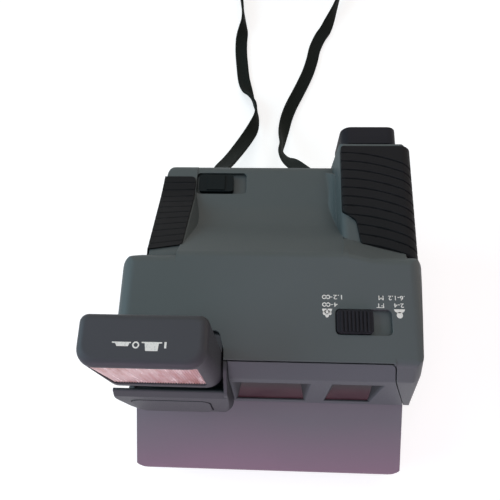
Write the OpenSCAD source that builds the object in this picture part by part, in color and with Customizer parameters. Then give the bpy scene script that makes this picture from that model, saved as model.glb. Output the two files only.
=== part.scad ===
// Instant camera with a pop-up flash, for integral film of 88 by 107 mm.
// Millimetres. +Z is up, the front faces -Y, and the base rests on z = 0.

/* [Body] */
// Half width of the body low down, where the sides start to lean in
base_half = 65; // [64:0.5:66]
// Half width of the body at the deck
deck_half = 53; // [52.5:0.5:54]
// Height of the top deck
deck_z = 100; // [99.5:0.5:101]
// Height of the rear deck behind the ramp
rear_deck_z = 74; // [73:0.5:75]
// Height of the parting line between the base shell and the top shell
split_z = 40; // [39:0.5:41]
// Where the back wall of the body stands
back_y = 50; // [49.5:0.5:51]
// Wall thickness of the shells
wall = 2.2; // [2:0.1:2.4]

/* [Front] */
// Where the upper edge of the front panel's face lies
crease_y = -45.8; // [-46.2:0.2:-45.4]
// Height of that edge
crease_z = 92; // [91.5:0.5:92.5]
// How far the panel's lower edge stands in front of its upper edge
panel_lean = 5.2; // [4.8:0.2:5.6]
// Height of the panel's lower edge
panel_foot_z = 57.5; // [57:0.5:58]
// Front of the film door
door_y = -80.2; // [-80.6:0.2:-79.8]
// Height of the film door's front edge
door_front_z = 28; // [27:0.5:29]

/* [Flash] */
// Top of the flash head, raised
flash_top_z = 125; // [124:0.5:126]
// Middle of the flash head
flash_x = -36.1; // [-36.3:0.1:-35.9]
// Half width of the flash head at its top
flash_half = 18.8; // [18.5:0.1:19]
// How far the flash head sinks into the body
flash_travel = 24; // [22:1:24]

/* [Controls] */
// Length of the close-up slider's block
slider_len = 12.2; // [11.5:0.1:12.4]
// Travel of the close-up slider
slider_travel = 6; // [5:0.5:6]
// Length of the flash release's block
release_len = 15; // [14:0.5:15.5]
// Travel of the flash release
release_travel = 4.5; // [4:0.5:5]

/* [Film drive] */
// Radius of the two rollers
roller_r = 5; // [4.8:0.1:5.1]
// Tooth size of the gears, pitch diameter over tooth count
gear_module = 0.65; // [0.65:0.01:0.65]
// Teeth on each roller gear
roller_teeth = 16; // [16:4:16]
// Teeth on the idler gear
idler_teeth = 24; // [24:4:24]
// Teeth on the drive gear
drive_teeth = 28; // [28:4:28]
// Teeth on the motor pinion
pinion_teeth = 12; // [12:4:12]

/* [Strap] */
// Width of the strap
strap_w = 8; // [7:0.5:9]
// Thickness of the strap
strap_t = 1.6; // [1.4:0.1:1.8]
// Turns of the part that is wound up
coil_turns = 2.5; // [1.5:1:2.5]

/* [Hidden] */

big = 200;
gap = 0.35;
slip = 0.05;
arc_steps = 6;
flare_z = 8;
foot_half = base_half - 2;
shoulder_r = 6;

// Body stations along Y
shell_front_y = -47.8;
crest_y = -2.5;
ledge_y = -41;
ramp_foot_y = 22;
tunnel_back_y = 51;
tunnel_top_z = 88.8;
tunnel_ramp = 13.5;
tunnel_ramp_turn = 14;
crest_overlap = 8;
crest_corner_r = 5;
// Cut across the deck's rear left corner, along X and along Y
crest_cut = [10, 1.9];
// Round edges of the deck's front right corner, beside the panel
front_corner_x = 41.5;
front_corner_r = 4;

// Body stations along X
grip_inner_x = -32.6;
grip_lean = 26;
grip_foot_y = 34;
tunnel_inner_x = 26.6;
fillet_r = 5;
taper_x = -50.2;
taper_y = 4;
taper_run = 0.105;
taper_lean = 0.283;
taper_corner_r = 6;
right_taper_turn = 3.55;
right_taper_lean = 10.2;
pod_right_x = -14;
well_right_x = -15.2;
panel_left_x = -13.8;
panel_right_x = 43;
panel_foot_x = 55;
panel_t = 3;

// Front windows, in the leaning frame of the panel
lean = atan(panel_lean / (crease_z - panel_foot_z));
window_top = -4.6;
window_h = 26.2;
window_depth = 3.6;
window_foot_depth = 0.7;
pane_t = 1.2;
window_rim = 1.4;
lens_window_x = [-13.2, 15];
lens_bevel = [4.6, 4.2];
finder_window_x = [22.2, 40.6];
finder_bevel = [3.2, 3.2];

// Lens and shutter
lens_x = 1;
lens_z = 75.5;
barrel_r = 9;
barrel_bore_r = 6.5;
housing_y = [-36.6, -33];
housing_hole_r = 4;
blade_disc_r = 5;
blade_t = 0.4;
blade_pivot_dx = 8;
blade_pivot_dz = -13.5;
blade_a_y = -37.4;
blade_b_y = -38.1;
stud_r = 1;
arm_pivot = [17, 86];
arm_y = [-40.3, -39];
arm_swing = 40;
arm_disc_r = 5.6;
arm_lens_r = 4.6;
sensor_xz = [-9.4, 86.6];

// Flash head and its well
flash_foot_z = 93;
flash_foot_half = 20.6;
flash_back_y = [-37.6, -31.2];
flash_front_y = [-49.2, -46.9];
flash_corner_r = [5.6, 2.6];
flash_wall = 1.6;
flash_lens_half = 15.8;
flash_lens_z = [96.5, 122.5];
flash_lens_t = 1.4;
carriage_z = [68.8, 92.9];
carriage_y = [-45.2, -32.2];
carriage_x = [-54, -16.2];
carriage_t = 1.4;
well_floor_z = carriage_z[0] - flash_travel - 2.8;
well_floor_t = 1.4;
well_back_y = -30.3;
well_back_t = 1.2;
well_side_z = 68.3;
well_corner = [-37.4, -30.8];
pod_top_z = 92.3;
pod_front_y = [-56, -52.4];
pod_chamfer_y = -49.65;
pod_chamfer_z = 86.5;
pod_foot_z = 63.5;
pod_left_x = -57.4;
pod_corner_r = [9, 4];
button_x = [-50.4, -21.4];
button_z = [65.2, 81.8];
button_r = 3.5;
button_back_y = -52;
flash_tube_yz = [-41.6, 110];
spring_r = 2.4;
spring_wire_r = 0.5;
spring_turns = 7;
spring_x = -35.4;
spring_y = -40.6;

// Controls on the decks
slider_x = 22.4;
slider_y = -26.9;
slider_w = 8.2;
slide_h = 1.3;
slide_sink = 1.5;
release_x = -31.6;
release_y = 40.4;
release_w = 8.2;
release_margin = 1.1;
stem_w = 1.4;
stem_len = 2.4;
stem_at = 0.3;

// Film chamber, mirror box and mirror
chamber_half = 46.2;
chamber_z = [2.5, 25];
chamber_y = [-47, 47];
gate_t = 1.6;
gate_half = 40;
gate_y = [-29.5, 42];
pick_slot_y = [-21, 44];
pick_slot_z = [19, 24];
box_wall = 1.6;
box_half = 41.5;
neck_half = 20.5;
box_front_y = -30;
box_back_y = 44.5;
box_top_z = 89;
box_mid_z = 60;
slope_sum = 92;
mirror_t = 2;
mirror_len = 50.5;
mirror_half = [18, 38];
mirror_step = [38, 41];

// Finder
finder_x = [31, 48.5];
finder_z = [66.5, 85.2];
finder_front_x = 21.2;
finder_step_y = -6;
finder_y = [-39.5, 50.6];
finder_wall = 1.2;
cup_x = [28.4, 51];
cup_z = [66, 88];
cup_y = [51.2, 59];
cup_r = 4;

// Film door, rollers and gears
hinge = [-75.2, 5.6];
hinge_pin_r = 1.2;
hinge_arm_x = [51.5, 55];
hinge_arm_r = 1.75;
hinge_end_x = 60;
door_foot_z = 2.2;
door_wall = 2.4;
door_back_y = -49.3;
door_back_z = 50.5;
door_corner_r = 8;
door_inset = 2.3;
slot_half = 46;
nip_z = 20.1;
slot_z = [nip_z - 2.7, nip_z + 2.7];
roller_y = -67.2;
roller_half = 47.4;
roller_gap = 0.4;
shaft_r = 2;
gear_x = [50.6, 54.6];
frame_x = [48.2, 50];
plate_x = [54.9, 56];
motor_yz = [-39, 44];
motor_r = 6.2;
motor_x = [18, 49];
upper_yz = [roller_y, nip_z + roller_r + roller_gap / 2];
lower_yz = [roller_y, nip_z - roller_r - roller_gap / 2];
idler_lift = 2.8;
floor_t = 2.5;
floor_front_y = -70.9;
floor_half = 59;
front_open_x = [-48, 58];
latch_open_x = -58.8;
post_r = 3.2;
post_h = 10;
pilot_r = 1.3;
screw_r = 2.5;
screw_posts = [[-52, -30], [52, -14], [-51.5, 32], [52, 32]];

// Latch, pick arm, counter
latch_y = [-46, -36];
latch_z = [26.5, 32.5];
latch_travel = 4;
latch_hook_x = [-55.6, -54];
counter_xz = [2, 62];
counter_r = 8;
counter_y = [44.2, 45.6];
counter_hole = [6, 4];
counter_hole_z = 67;

// Strap
lug_x = [-24, 18];
lug_z = 58;
lug_w = 11;
lug_reach = 5;
lug_bar_r = 1.2;
strap_rest = 5;
coil_centre = [12, 283];
coil_r = 34;
coil_layer = 9;
coil_step = 3.8;
coil_rings = 24;
smooth_steps = 3;
// Route of each run from its lug, as x, y, z and the angle that the strap is turned on edge
left_route = [
  [-24, 54.5, 58, 0], [-25, 60, 53, 0], [-26, 68.8, 42, 0], [-23.6, 80.9, 30.5, 0],
  [-20.1, 95.3, 19, 5], [-15.4, 110.5, 10, 18], [-11.8, 121.1, 6.2, 45], [-10, 130.1, 4.6, 75],
  [-10.8, 138, 4.3, 88], [-13.2, 143.8, 4.2, 75], [-16.6, 151.5, 2.8, 27], [-19.3, 161.9, 1.3, 0],
  [-20.8, 173.5, 1.2, 0], [-21.9, 185.2, 1.3, 0], [-21.9, 194.5, 2.4, 17], [-20.9, 201.6, 3.7, 45],
  [-20.6, 208.6, 4.5, 75], [-22, 222, 5, 90], [-24.6, 242, 5, 90], [-26.1, 264, 5, 90]
];
right_route = [
  [18, 54.5, 58, 0], [17.4, 59.5, 52, 0], [14.2, 69.1, 42, 0], [9.7, 79.2, 33, 10],
  [6.7, 89.3, 24, 50], [5.6, 98.5, 17, 82], [6.1, 109.5, 10.5, 60], [7.4, 120.7, 5.6, 36],
  [9.2, 130.7, 3.4, 26], [12, 139.7, 2.7, 20], [15.9, 148.8, 2.5, 18], [19.8, 158, 2.4, 18],
  [23.3, 167.2, 2.4, 18], [26, 177.1, 2.4, 18], [27.9, 186.2, 2.4, 18], [31.5, 195.6, 2.5, 20],
  [36, 203.5, 3.1, 32], [42.6, 221, 5, 80], [47.6, 242, 8, 90], [50.1, 264, 12.6, 90]
];

// Half width of the body at a height
function half_at(z) = base_half - (base_half - deck_half) * (z - flare_z) / (deck_z - flare_z);

// One corner of an outline, drawn as an arc of its radius
function corner(p, v, q, r, n = arc_steps) =
  let (
    u = (p - v) / norm(p - v),
    w = (q - v) / norm(q - v),
    half = acos(max(-1, min(1, u * w))) / 2,
    mid = (u + w) / norm(u + w),
    centre = v + mid * r / sin(half),
    start = v + u * r / tan(half) - centre,
    finish = v + w * r / tan(half) - centre,
    a0 = atan2(start[1], start[0]),
    turn = atan2(start[0] * finish[1] - start[1] * finish[0], start * finish)
  )
  [for (i = [0:n]) centre + r * [cos(a0 + turn * i / n), sin(a0 + turn * i / n)]];

// An outline of [a, b, radius] points, with round corners where the radius is not 0
function outline(pts) =
  let (n = len(pts), xy = [for (p = pts) [p[0], p[1]]])
  [for (i = [0:n - 1]) each (pts[i][2] > 0
    ? corner(xy[(i + n - 1) % n], xy[i], xy[(i + 1) % n], pts[i][2])
    : [xy[i]])];

// A rectangle outline from its two corners
function box_outline(a, b, r) = outline([[a[0], a[1], r], [b[0], a[1], r], [b[0], b[1], r], [a[0], b[1], r]]);

// A gear outline whose first tooth points along the angle given
function gear_outline(teeth, phase) =
  let (
    pitch_r = teeth * gear_module / 2,
    root_r = pitch_r - 1.2 * gear_module,
    tip_r = pitch_r + 0.85 * gear_module,
    step = 360 / teeth
  )
  [for (i = [0:teeth - 1], p = [[-0.27, root_r], [-0.09, tip_r], [0.09, tip_r], [0.27, root_r]])
    let (a = phase + step * (i + p[0])) p[1] * [cos(a), sin(a)]];

// Phase of a second gear that meshes with a first one, along the line between their centres
function mesh_phase(from, to, phase, teeth, next) =
  let (line = atan2(to[1] - from[1], to[0] - from[0]))
  line + 180 - 180 / next + (line - phase) * teeth / next;

function centre_distance(a, b) = (a + b) * gear_module / 2;

// Centres of the idler and the drive gear, from the roller gear and the motor
roller_to_idler = centre_distance(roller_teeth, idler_teeth);
idler_yz = upper_yz + [sqrt(pow(roller_to_idler, 2) - pow(idler_lift, 2)), idler_lift];
idler_to_motor = motor_yz - idler_yz;
span = norm(idler_to_motor);
reach_a = centre_distance(idler_teeth, drive_teeth);
reach_b = centre_distance(drive_teeth, pinion_teeth);
along = (reach_a * reach_a - reach_b * reach_b + span * span) / (2 * span);
aside = sqrt(reach_a * reach_a - along * along);
drive_yz = idler_yz + idler_to_motor / span * along + [idler_to_motor[1], -idler_to_motor[0]] / span * aside;
upper_phase = 90;
lower_phase = mesh_phase(upper_yz, lower_yz, upper_phase, roller_teeth, roller_teeth);
idler_phase = mesh_phase(upper_yz, idler_yz, upper_phase, roller_teeth, idler_teeth);
drive_phase = mesh_phase(idler_yz, drive_yz, idler_phase, idler_teeth, drive_teeth);
pinion_phase = mesh_phase(drive_yz, motor_yz, drive_phase, drive_teeth, pinion_teeth);

// Smooth points through a list, with a few steps between each two
function smooth(pts, n = smooth_steps) =
  let (last = len(pts) - 1)
  [for (i = [0:last - 1], k = [0:n - 1])
    let (
      a = pts[max(i - 1, 0)],
      b = pts[i],
      c = pts[i + 1],
      d = pts[min(i + 2, last)],
      t = k / n
    )
    b + t / 2 * ((c - a) + t * ((2 * a - 5 * b + 4 * c - d) + t * (3 * b - a - 3 * c + d))),
    pts[last]];

// Points of the wound part: it spirals in on the floor, climbs, and spirals out on top
function climb(u) = let (t = max(0, min(1, (u - coil_turns / 2) * 2 + 0.5))) t * t * (3 - 2 * t);
coil_phase = 180;
coil_path = [for (i = [0:coil_rings * coil_turns])
  let (
    u = i / coil_rings,
    a = coil_phase - 360 * u,
    r = coil_r + coil_step * abs(u - coil_turns / 2)
  )
  [coil_centre[0] + r * cos(a), coil_centre[1] + r * sin(a), strap_rest + coil_layer * climb(u), 90]];
left_path = smooth(concat(left_route, [coil_path[0]]));
right_path = smooth(concat(right_route, [coil_path[len(coil_path) - 1]]));

// Least gap of the wound part to itself, between points that are more than half a turn apart
coil_gaps = [for (i = [0:len(coil_path) - 1], j = [i:len(coil_path) - 1])
  if (j - i > coil_rings / 2)
    let (d = coil_path[i] - coil_path[j])
    max(norm([d[0], d[1]]) - strap_t, abs(d[2]) - strap_w)];
echo(coil_least_gap = min(coil_gaps));

module along_x(x0, x1) {
  translate([x0, 0, 0]) rotate([90, 0, 90]) linear_extrude(x1 - x0) children();
}

module along_y(y0, y1) {
  translate([0, y1, 0]) rotate([90, 0, 0]) linear_extrude(y1 - y0) children();
}

module along_z(z0, z1) {
  translate([0, 0, z0]) linear_extrude(z1 - z0) children();
}

// A body between two outlines of as many points, at two heights
module loft(a, za, b, zb) {
  n = len(a);
  points = concat([for (p = a) [p[0], p[1], za]], [for (p = b) [p[0], p[1], zb]]);
  foot = [for (i = [0:n - 1]) i];
  head = [for (i = [n - 1:-1:0]) n + i];
  sides = [for (i = [0:n - 1]) [i, n + i, n + (i + 1) % n, (i + 1) % n]];
  polyhedron(points = points, faces = concat([foot, head], sides));
}

module block(a, b) {
  translate(a) cube(b - a);
}

module rod_x(x0, x1, yz, r) {
  translate([x0, yz[0], yz[1]]) rotate([0, 90, 0]) cylinder(h = x1 - x0, r = r, $fn = 48);
}

module rod_y(y0, y1, xz, r) {
  translate([xz[0], y0, xz[1]]) rotate([-90, 0, 0]) cylinder(h = y1 - y0, r = r, $fn = 64);
}

// Local frame of the front panel: its face is y = 0, its upper edge is z = 0
module on_panel() {
  translate([0, crease_y, crease_z]) rotate([-lean, 0, 0]) children();
}

// A window's hole: its sides slope in, and its back leans from the deep top to the shallow foot
module window_hole(x, bevel) {
  lead = 1;
  z = [window_top - window_h, window_top];
  depths = [-lead, window_foot_depth, window_depth];
  left = [for (y = depths) x[0] + bevel[0] * y / window_depth];
  right = [for (y = depths) x[1] - bevel[1] * y / window_depth];
  polyhedron(
    points = [
      [left[0], -lead, z[0]], [right[0], -lead, z[0]], [right[0], -lead, z[1]], [left[0], -lead, z[1]],
      [left[1], window_foot_depth, z[0]], [right[1], window_foot_depth, z[0]],
      [right[2], window_depth, z[1]], [left[2], window_depth, z[1]]
    ],
    faces = [
      [3, 2, 1, 0], [4, 5, 6, 7], [0, 1, 5, 4], [1, 2, 6, 5], [2, 3, 7, 6], [3, 0, 4, 7]
    ]
  );
}

// A flat band swept along points of x, y, z and edge angle
module band(path, w, t) {
  n = len(path);
  side = [
    [-0.5, 0.3], [-0.5, -0.3], [-0.42, -0.5], [0.42, -0.5],
    [0.5, -0.3], [0.5, 0.3], [0.42, 0.5], [-0.42, 0.5]
  ];
  m = len(side);
  xyz = [for (p = path) [p[0], p[1], p[2]]];
  points = [for (i = [0:n - 1])
    let (
      d = xyz[min(i + 1, n - 1)] - xyz[max(i - 1, 0)],
      tangent = d / norm(d),
      level = cross([0, 0, 1], tangent) / norm(cross([0, 0, 1], tangent)),
      up = cross(tangent, level),
      wide = level * cos(path[i][3]) + up * sin(path[i][3]),
      thick = cross(tangent, wide)
    )
    each [for (s = side) xyz[i] + wide * s[0] * w + thick * s[1] * t]];
  sides = [for (i = [0:n - 2], k = [0:m - 1])
    let (a = i * m + k, b = i * m + (k + 1) % m)
    each [[a, b, b + m], [a, b + m, a + m]]];
  first = [for (k = [1:m - 2]) [0, k + 1, k]];
  last = [for (k = [1:m - 2]) [(n - 1) * m, (n - 1) * m + k, (n - 1) * m + k + 1]];
  polyhedron(points = points, faces = concat(sides, first, last));
}

// The body seen from the front, drawn in by t and standing on the height given
module front_outline(t = 0, foot = 0) {
  polygon(outline([
    [-(foot_half - t), foot, 0], [-(base_half - t), flare_z, 3], [-(deck_half - t), deck_z - t, shoulder_r],
    [deck_half - t, deck_z - t, shoulder_r], [base_half - t, flare_z, 3], [foot_half - t, foot, 0]
  ]));
}

// Side outlines of the upper body's zones, drawn in by t
module deck_side(t, ledge_r = 1.5) {
  polygon(outline([
    [shell_front_y + t, split_z - 1, 0], [shell_front_y + t, panel_foot_z - 2, 0],
    [crease_y - panel_lean + t, panel_foot_z + t, 0], [crease_y + t, crease_z - t / 2, 4],
    [ledge_y + t / 2, deck_z - t, ledge_r], [crest_y - t, deck_z - t, 4], [crest_y - t + 1, split_z - 1, 0]
  ]));
}

module ramp_side(t) {
  polygon(outline([
    [crest_y - crest_overlap, split_z - 1, 0], [crest_y - crest_overlap, deck_z - t, 0],
    [crest_y - t, deck_z - t, 4], [ramp_foot_y - t, rear_deck_z + 1 - t, 22],
    [back_y - t, rear_deck_z - t, 3.5], [back_y - t, split_z - 1, 0]
  ]));
}

module grip_side(t) {
  polygon(outline([
    [crest_y - crest_overlap, split_z - 1, 0], [crest_y - crest_overlap, deck_z - 3 - t, 0],
    [crest_y + 2, deck_z - 4 - t, 4], [grip_foot_y, rear_deck_z + 1 - t, 12],
    [back_y - t, rear_deck_z + 0.2 - t, 3.5], [back_y - t, split_z - 1, 0]
  ]));
}

// The grip's inner side, which leans from its ridge down to the rear deck and is upright behind it
module grip_bank(t) {
  fall = atan((deck_z - 5 - rear_deck_z) / (grip_foot_y - crest_y - 2));
  translate([grip_inner_x - t, crest_y + 2, deck_z - 4 - t])
    rotate([-fall, 0, 0]) rotate([0, -grip_lean, 0])
      translate([-big, -big / 2, -big / 2]) cube([big, big, big]);
  block([-big, grip_foot_y - 3, 0], [grip_inner_x - t, big, big]);
}

module tunnel_side(t) {
  polygon(outline([
    [crest_y - crest_overlap, split_z - 1, 0], [crest_y - crest_overlap, tunnel_top_z + 0.6 - t, 0],
    [tunnel_back_y - t, tunnel_top_z - 0.4 - t, 1], [tunnel_back_y - t, split_z - 1, 0]
  ]));
}

// The ramp from the tunnel's top up to the deck, from the crest backwards
module tunnel_ramp_side(t) {
  polygon(outline([
    [-crest_overlap, split_z - 1, 0], [-crest_overlap, deck_z - t, 0], [-t, deck_z - t, 4],
    [tunnel_ramp - t, tunnel_top_z - 2.5 - t, 0], [tunnel_ramp - t, split_z - 1, 0]
  ]));
}

module tunnel_front(t) {
  outer = half_at(tunnel_top_z) - t;
  polygon(outline([
    [tunnel_inner_x - 1.6 + t, split_z - 1, 0], [tunnel_inner_x + t, rear_deck_z, 0],
    [tunnel_inner_x + 0.8 + t, tunnel_top_z - t, 3], [outer, tunnel_top_z - t, 6],
    [half_at(split_z) - t, split_z - 1, 0]
  ]));
}

// The round foot of the tunnel's inner side, on the rear deck
module tunnel_fillet() {
  centre = [tunnel_inner_x - fillet_r, rear_deck_z + fillet_r];
  arc = [for (i = [0:arc_steps]) centre + fillet_r * [sin(90 * i / arc_steps), -cos(90 * i / arc_steps)]];
  intersection() {
    along_y(0, back_y) polygon(concat(
      [[centre[0], rear_deck_z - 1], [tunnel_inner_x + 1, rear_deck_z - 1], [tunnel_inner_x + 1, centre[1]]],
      [for (i = [arc_steps:-1:0]) arc[i]]));
    along_x(tunnel_inner_x - 2 * fillet_r, tunnel_inner_x + 2) polygon(outline([
      [0, rear_deck_z - 8, 0], [back_y - 3.6, rear_deck_z - 8, 0], [back_y - 3.6, rear_deck_z, 0],
      [back_y - 9, rear_deck_z + 6, 6], [0, rear_deck_z + 6, 0]
    ]));
  }
}

// Plan of the rear left, whose side draws in towards the back, at a height
function taper_plan(t, z) =
  let (
    edge = taper_x + t - taper_lean * (rear_deck_z - z),
    back = back_y - t + slip
  )
  outline([
    [edge + taper_run * (-70 - taper_y), -70, 0], [big / 2, -70, 0], [big / 2, back, 0],
    [edge + taper_run * (back - taper_y), back, taper_corner_r - t / 2]
  ]);

module left_taper(t) {
  loft(taper_plan(t, -1), -1, taper_plan(t, deck_z + 5), deck_z + 5);
}

// The right side draws in towards the front
module right_taper(t) {
  translate([half_at(split_z) - t, shell_front_y, split_z])
    rotate([0, 0, -right_taper_turn]) rotate([0, -right_taper_lean, 0])
      translate([0, -big / 2, -big / 2]) cube([big, big, big]);
}

// Plan of the deck at a height, with round rear corners, the left one also cut across
function deck_plan(t, z) =
  let (
    half = half_at(z) - t + slip,
    back = crest_y + (deck_z - z) / (deck_z - split_z) - t + slip
  )
  outline([
    [-half, -70, 0], [half, -70, 0], [half, back, crest_corner_r - t / 2],
    [-half + crest_cut[0], back, 12], [-half, back - crest_cut[1], crest_corner_r - t / 2]
  ]);

module deck_zone(t) {
  intersection() {
    union() {
      along_x(-big / 2, front_corner_x) deck_side(t);
      along_x(front_corner_x - 1, big / 2) deck_side(t, t == 0 ? front_corner_r : 1.5);
    }
    loft(deck_plan(t, split_z - 2), split_z - 2, deck_plan(t, deck_z + 1), deck_z + 1);
  }
}

// Plan at the front right, with its front side at y and the corner rounded
function front_corner_plan(z, y, r) =
  let (
    turn = tan(right_taper_turn),
    lean_in = tan(right_taper_lean) / cos(right_taper_turn),
    x = half_at(split_z) + turn * (y - shell_front_y) - lean_in * (z - split_z) + slip
  )
  outline([[0, y - slip, 0], [x, y - slip, r], [x + 30 * turn, y + 30, 0], [0, y + 30, 0]]);

// What the round upright edge takes away beside the panel, less and less towards the panel's foot
module front_corner_cut() {
  foot = [crease_y - panel_lean, panel_foot_z];
  rise = (crease_y - ledge_y) / (crease_z - deck_z);
  difference() {
    block([half_at(deck_z) - 14, foot[0] - 2, foot[1] + 0.5], [base_half, ledge_y + 8, deck_z + 1]);
    loft(front_corner_plan(foot[1], foot[0], 0.6), foot[1],
      front_corner_plan(crease_z, crease_y, front_corner_r), crease_z);
    loft(front_corner_plan(crease_z, crease_y, front_corner_r), crease_z,
      front_corner_plan(deck_z + 2, ledge_y + 2 * rise, front_corner_r), deck_z + 2);
  }
}

module grip_zone(t) {
  intersection() {
    along_x(-half_at(split_z) - 4, grip_inner_x + 10) grip_side(t);
    left_taper(t);
    grip_bank(t);
  }
}

module tunnel_zone(t) {
  intersection() {
    along_x(tunnel_inner_x - 4, big / 2) tunnel_side(t);
    along_y(-big / 2, big / 2) tunnel_front(t);
  }
}

// The whole upper body, drawn in by t
module upper_solid(t = 0) {
  difference() {
    intersection() {
      along_y(-big / 2, big / 2) front_outline(t);
      union() {
        deck_zone(t);
        along_x(grip_inner_x - 1, tunnel_inner_x + 1) ramp_side(t);
        translate([tunnel_inner_x, crest_y, 0]) rotate([0, 0, -tunnel_ramp_turn])
          along_x(t - 1.5, 22) tunnel_ramp_side(t);
        grip_zone(t);
        tunnel_zone(t);
        if (t == 0) tunnel_fillet();
        if (t > 0) block([-47, crest_y - crest_overlap, split_z - 1], [50, back_y - t, box_mid_z + 2]);
      }
    }
    right_taper(t);
    if (t == 0) front_corner_cut();
  }
}

// Plan of the lower body, with round rear corners
module base_plan(t = 0) {
  polygon(outline([
    [-base_half - 1 + t, shell_front_y + t, 0], [base_half + 1 - t, shell_front_y + t, 0],
    [base_half + 1 - t, back_y - t, 14], [-base_half - 1 + t, back_y - t, 14]
  ]));
}

// The whole lower body above a height, drawn in by t
module lower_solid(t, z0) {
  intersection() {
    along_y(-big / 2, big / 2) front_outline(t);
    along_z(z0, split_z + t) base_plan(t);
    left_taper(t);
  }
}

// Shell parts
module base_shell() {
  front_wall = [shell_front_y - 1, shell_front_y + wall + 1];
  latch_slot_z = [latch_z[0] - 2.5, latch_z[1] + 2.5];
  color("#484d50") difference() {
    union() {
      difference() {
        lower_solid(0, 0);
        lower_solid(wall, floor_t);
        block([front_open_x[0], front_wall[0], floor_t], [front_open_x[1], front_wall[1], split_z + 1]);
        block([latch_open_x, front_wall[0], latch_slot_z[0]],
          [front_open_x[0] + 1, front_wall[1], latch_slot_z[1]]);
      }
      block([-floor_half, floor_front_y, 0], [floor_half, shell_front_y + 1, floor_t]);
      hinge_arm(hinge_arm_x[0], hinge_arm_x[1]);
      hinge_arm(-hinge_arm_x[1], -hinge_arm_x[0]);
      for (p = screw_posts) translate([p[0], p[1], 1]) cylinder(h = post_h - 1, r = post_r, $fn = 48);
    }
    for (p = screw_posts) translate([p[0], p[1], -1]) {
      cylinder(h = post_h, r = pilot_r, $fn = 48);
      cylinder(h = 2.6, r = screw_r + 0.2, $fn = 48);
    }
    rod_x(-big / 2, big / 2, hinge, hinge_pin_r + 0.02);
    block([-big, latch_y[0] - gap, latch_z[0] - gap],
      [front_open_x[0] - 2, latch_y[1] + latch_travel + gap, latch_z[1] + gap]);
  }
}

module hinge_arm(x0, x1) {
  rod_x(x0, x1, hinge, hinge_arm_r);
  block([x0, hinge[0], hinge[1] - hinge_arm_r], [x1, floor_front_y + 4, hinge[1] + hinge_arm_r]);
  block([x0, floor_front_y, 1], [x1, floor_front_y + 4, hinge[1] + hinge_arm_r]);
}

module slide_pocket(x, y, z, len, travel, w, margin) {
  stem = x + len * stem_at;
  along_z(z - slide_sink, z + 2) polygon(box_outline(
    [x - margin, y - w / 2 - margin], [x + len + travel + margin, y + w / 2 + margin], 1.6));
  block([stem - stem_len / 2 - gap, y - stem_w / 2 - gap, z - 8],
    [stem + stem_len / 2 + travel + gap, y + stem_w / 2 + gap, z]);
}

module slide_boss(x, y, z, len, travel, w, margin) {
  rim = margin + 1.3;
  block([x - rim, y - w / 2 - rim, z - slide_sink - 1.4], [x + len + travel + rim, y + w / 2 + rim, z - 1]);
}

module slide_block(x, y, z, len, w, ribs, stem_foot) {
  pitch = (len - 2) / ribs;
  rib_y = [y - w / 2 + 0.6, y + w / 2 - 0.6];
  stem = x + len * stem_at;
  along_z(z - slide_sink + 0.3, z + slide_h - 0.5)
    polygon(box_outline([x, y - w / 2], [x + len, y + w / 2], 1.3));
  for (i = [0:ribs - 1])
    block([x + 1 + pitch * (i + 0.2), rib_y[0], z], [x + 1 + pitch * (i + 0.8), rib_y[1], z + slide_h]);
  block([stem - stem_len / 2, y - stem_w / 2, stem_foot], [stem + stem_len / 2, y + stem_w / 2, z]);
}

module top_shell() {
  color("#50585a") difference() {
    union() {
      difference() {
        intersection() {
          upper_solid();
          along_z(split_z, deck_z + 1)
            polygon(box_outline([-base_half, -60], [base_half, tunnel_back_y + 1], 5));
        }
        upper_solid(wall);
      }
      slide_boss(slider_x, slider_y, deck_z, slider_len, slider_travel, slider_w, gap);
      slide_boss(release_x, release_y, rear_deck_z, release_len, release_travel, release_w, release_margin);
      rod_y(counter_y[0] - 0.6, back_y - 1, counter_xz, 1.5);
    }
    // Front opening for the panel
    along_y(-60, ledge_y + gap) panel_face(gap);
    // Notch for the flash head and the pod, close around the head at the deck
    block([-big, -60, well_side_z], [pod_right_x + 0.1, well_back_y, deck_z - wall - 0.3]);
    along_z(deck_z - wall - 0.4, deck_z + 5) polygon(outline([
      [-big, -60, 0], [pod_right_x + 0.1, -60, 0], [pod_right_x + 0.1, ledge_y + gap, 0],
      [well_right_x, ledge_y + gap, 0], [well_right_x, well_corner[0], 4],
      [flash_x + flash_half + gap, well_corner[1], 2], [-big, well_corner[1], 0]
    ]));
    block([-big, -60, panel_foot_z - 0.1], [pod_right_x + 0.1, shell_front_y + wall + 0.2, deck_z]);
    slide_pocket(slider_x, slider_y, deck_z, slider_len, slider_travel, slider_w, gap);
    slide_pocket(release_x, release_y, rear_deck_z, release_len, release_travel, release_w, release_margin);
    // Eyepiece hole and counter hole
    block([finder_x[0] - 0.2, tunnel_back_y - 6, finder_z[0] - 0.2],
      [finder_x[1] + 0.2, tunnel_back_y + 1, finder_z[1] + 0.2]);
    block([counter_xz[0] - counter_hole[0] / 2, back_y - 6, counter_hole_z - counter_hole[1] / 2],
      [counter_xz[0] + counter_hole[0] / 2, back_y + 1, counter_hole_z + counter_hole[1] / 2]);
  }
}

// Outline of the front panel, seen from the front and grown by t
module panel_face(t) {
  polygon(outline([
    [panel_left_x - t, panel_foot_z - 0.2 - t, 0], [panel_foot_x + t, panel_foot_z - 0.2 - t, 0],
    [panel_right_x + t, crease_z, 0], [panel_right_x - 1.8 + t, deck_z - slip + t, 2.6 + t],
    [panel_left_x - t, deck_z - slip + t, 0]
  ]));
}

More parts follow.
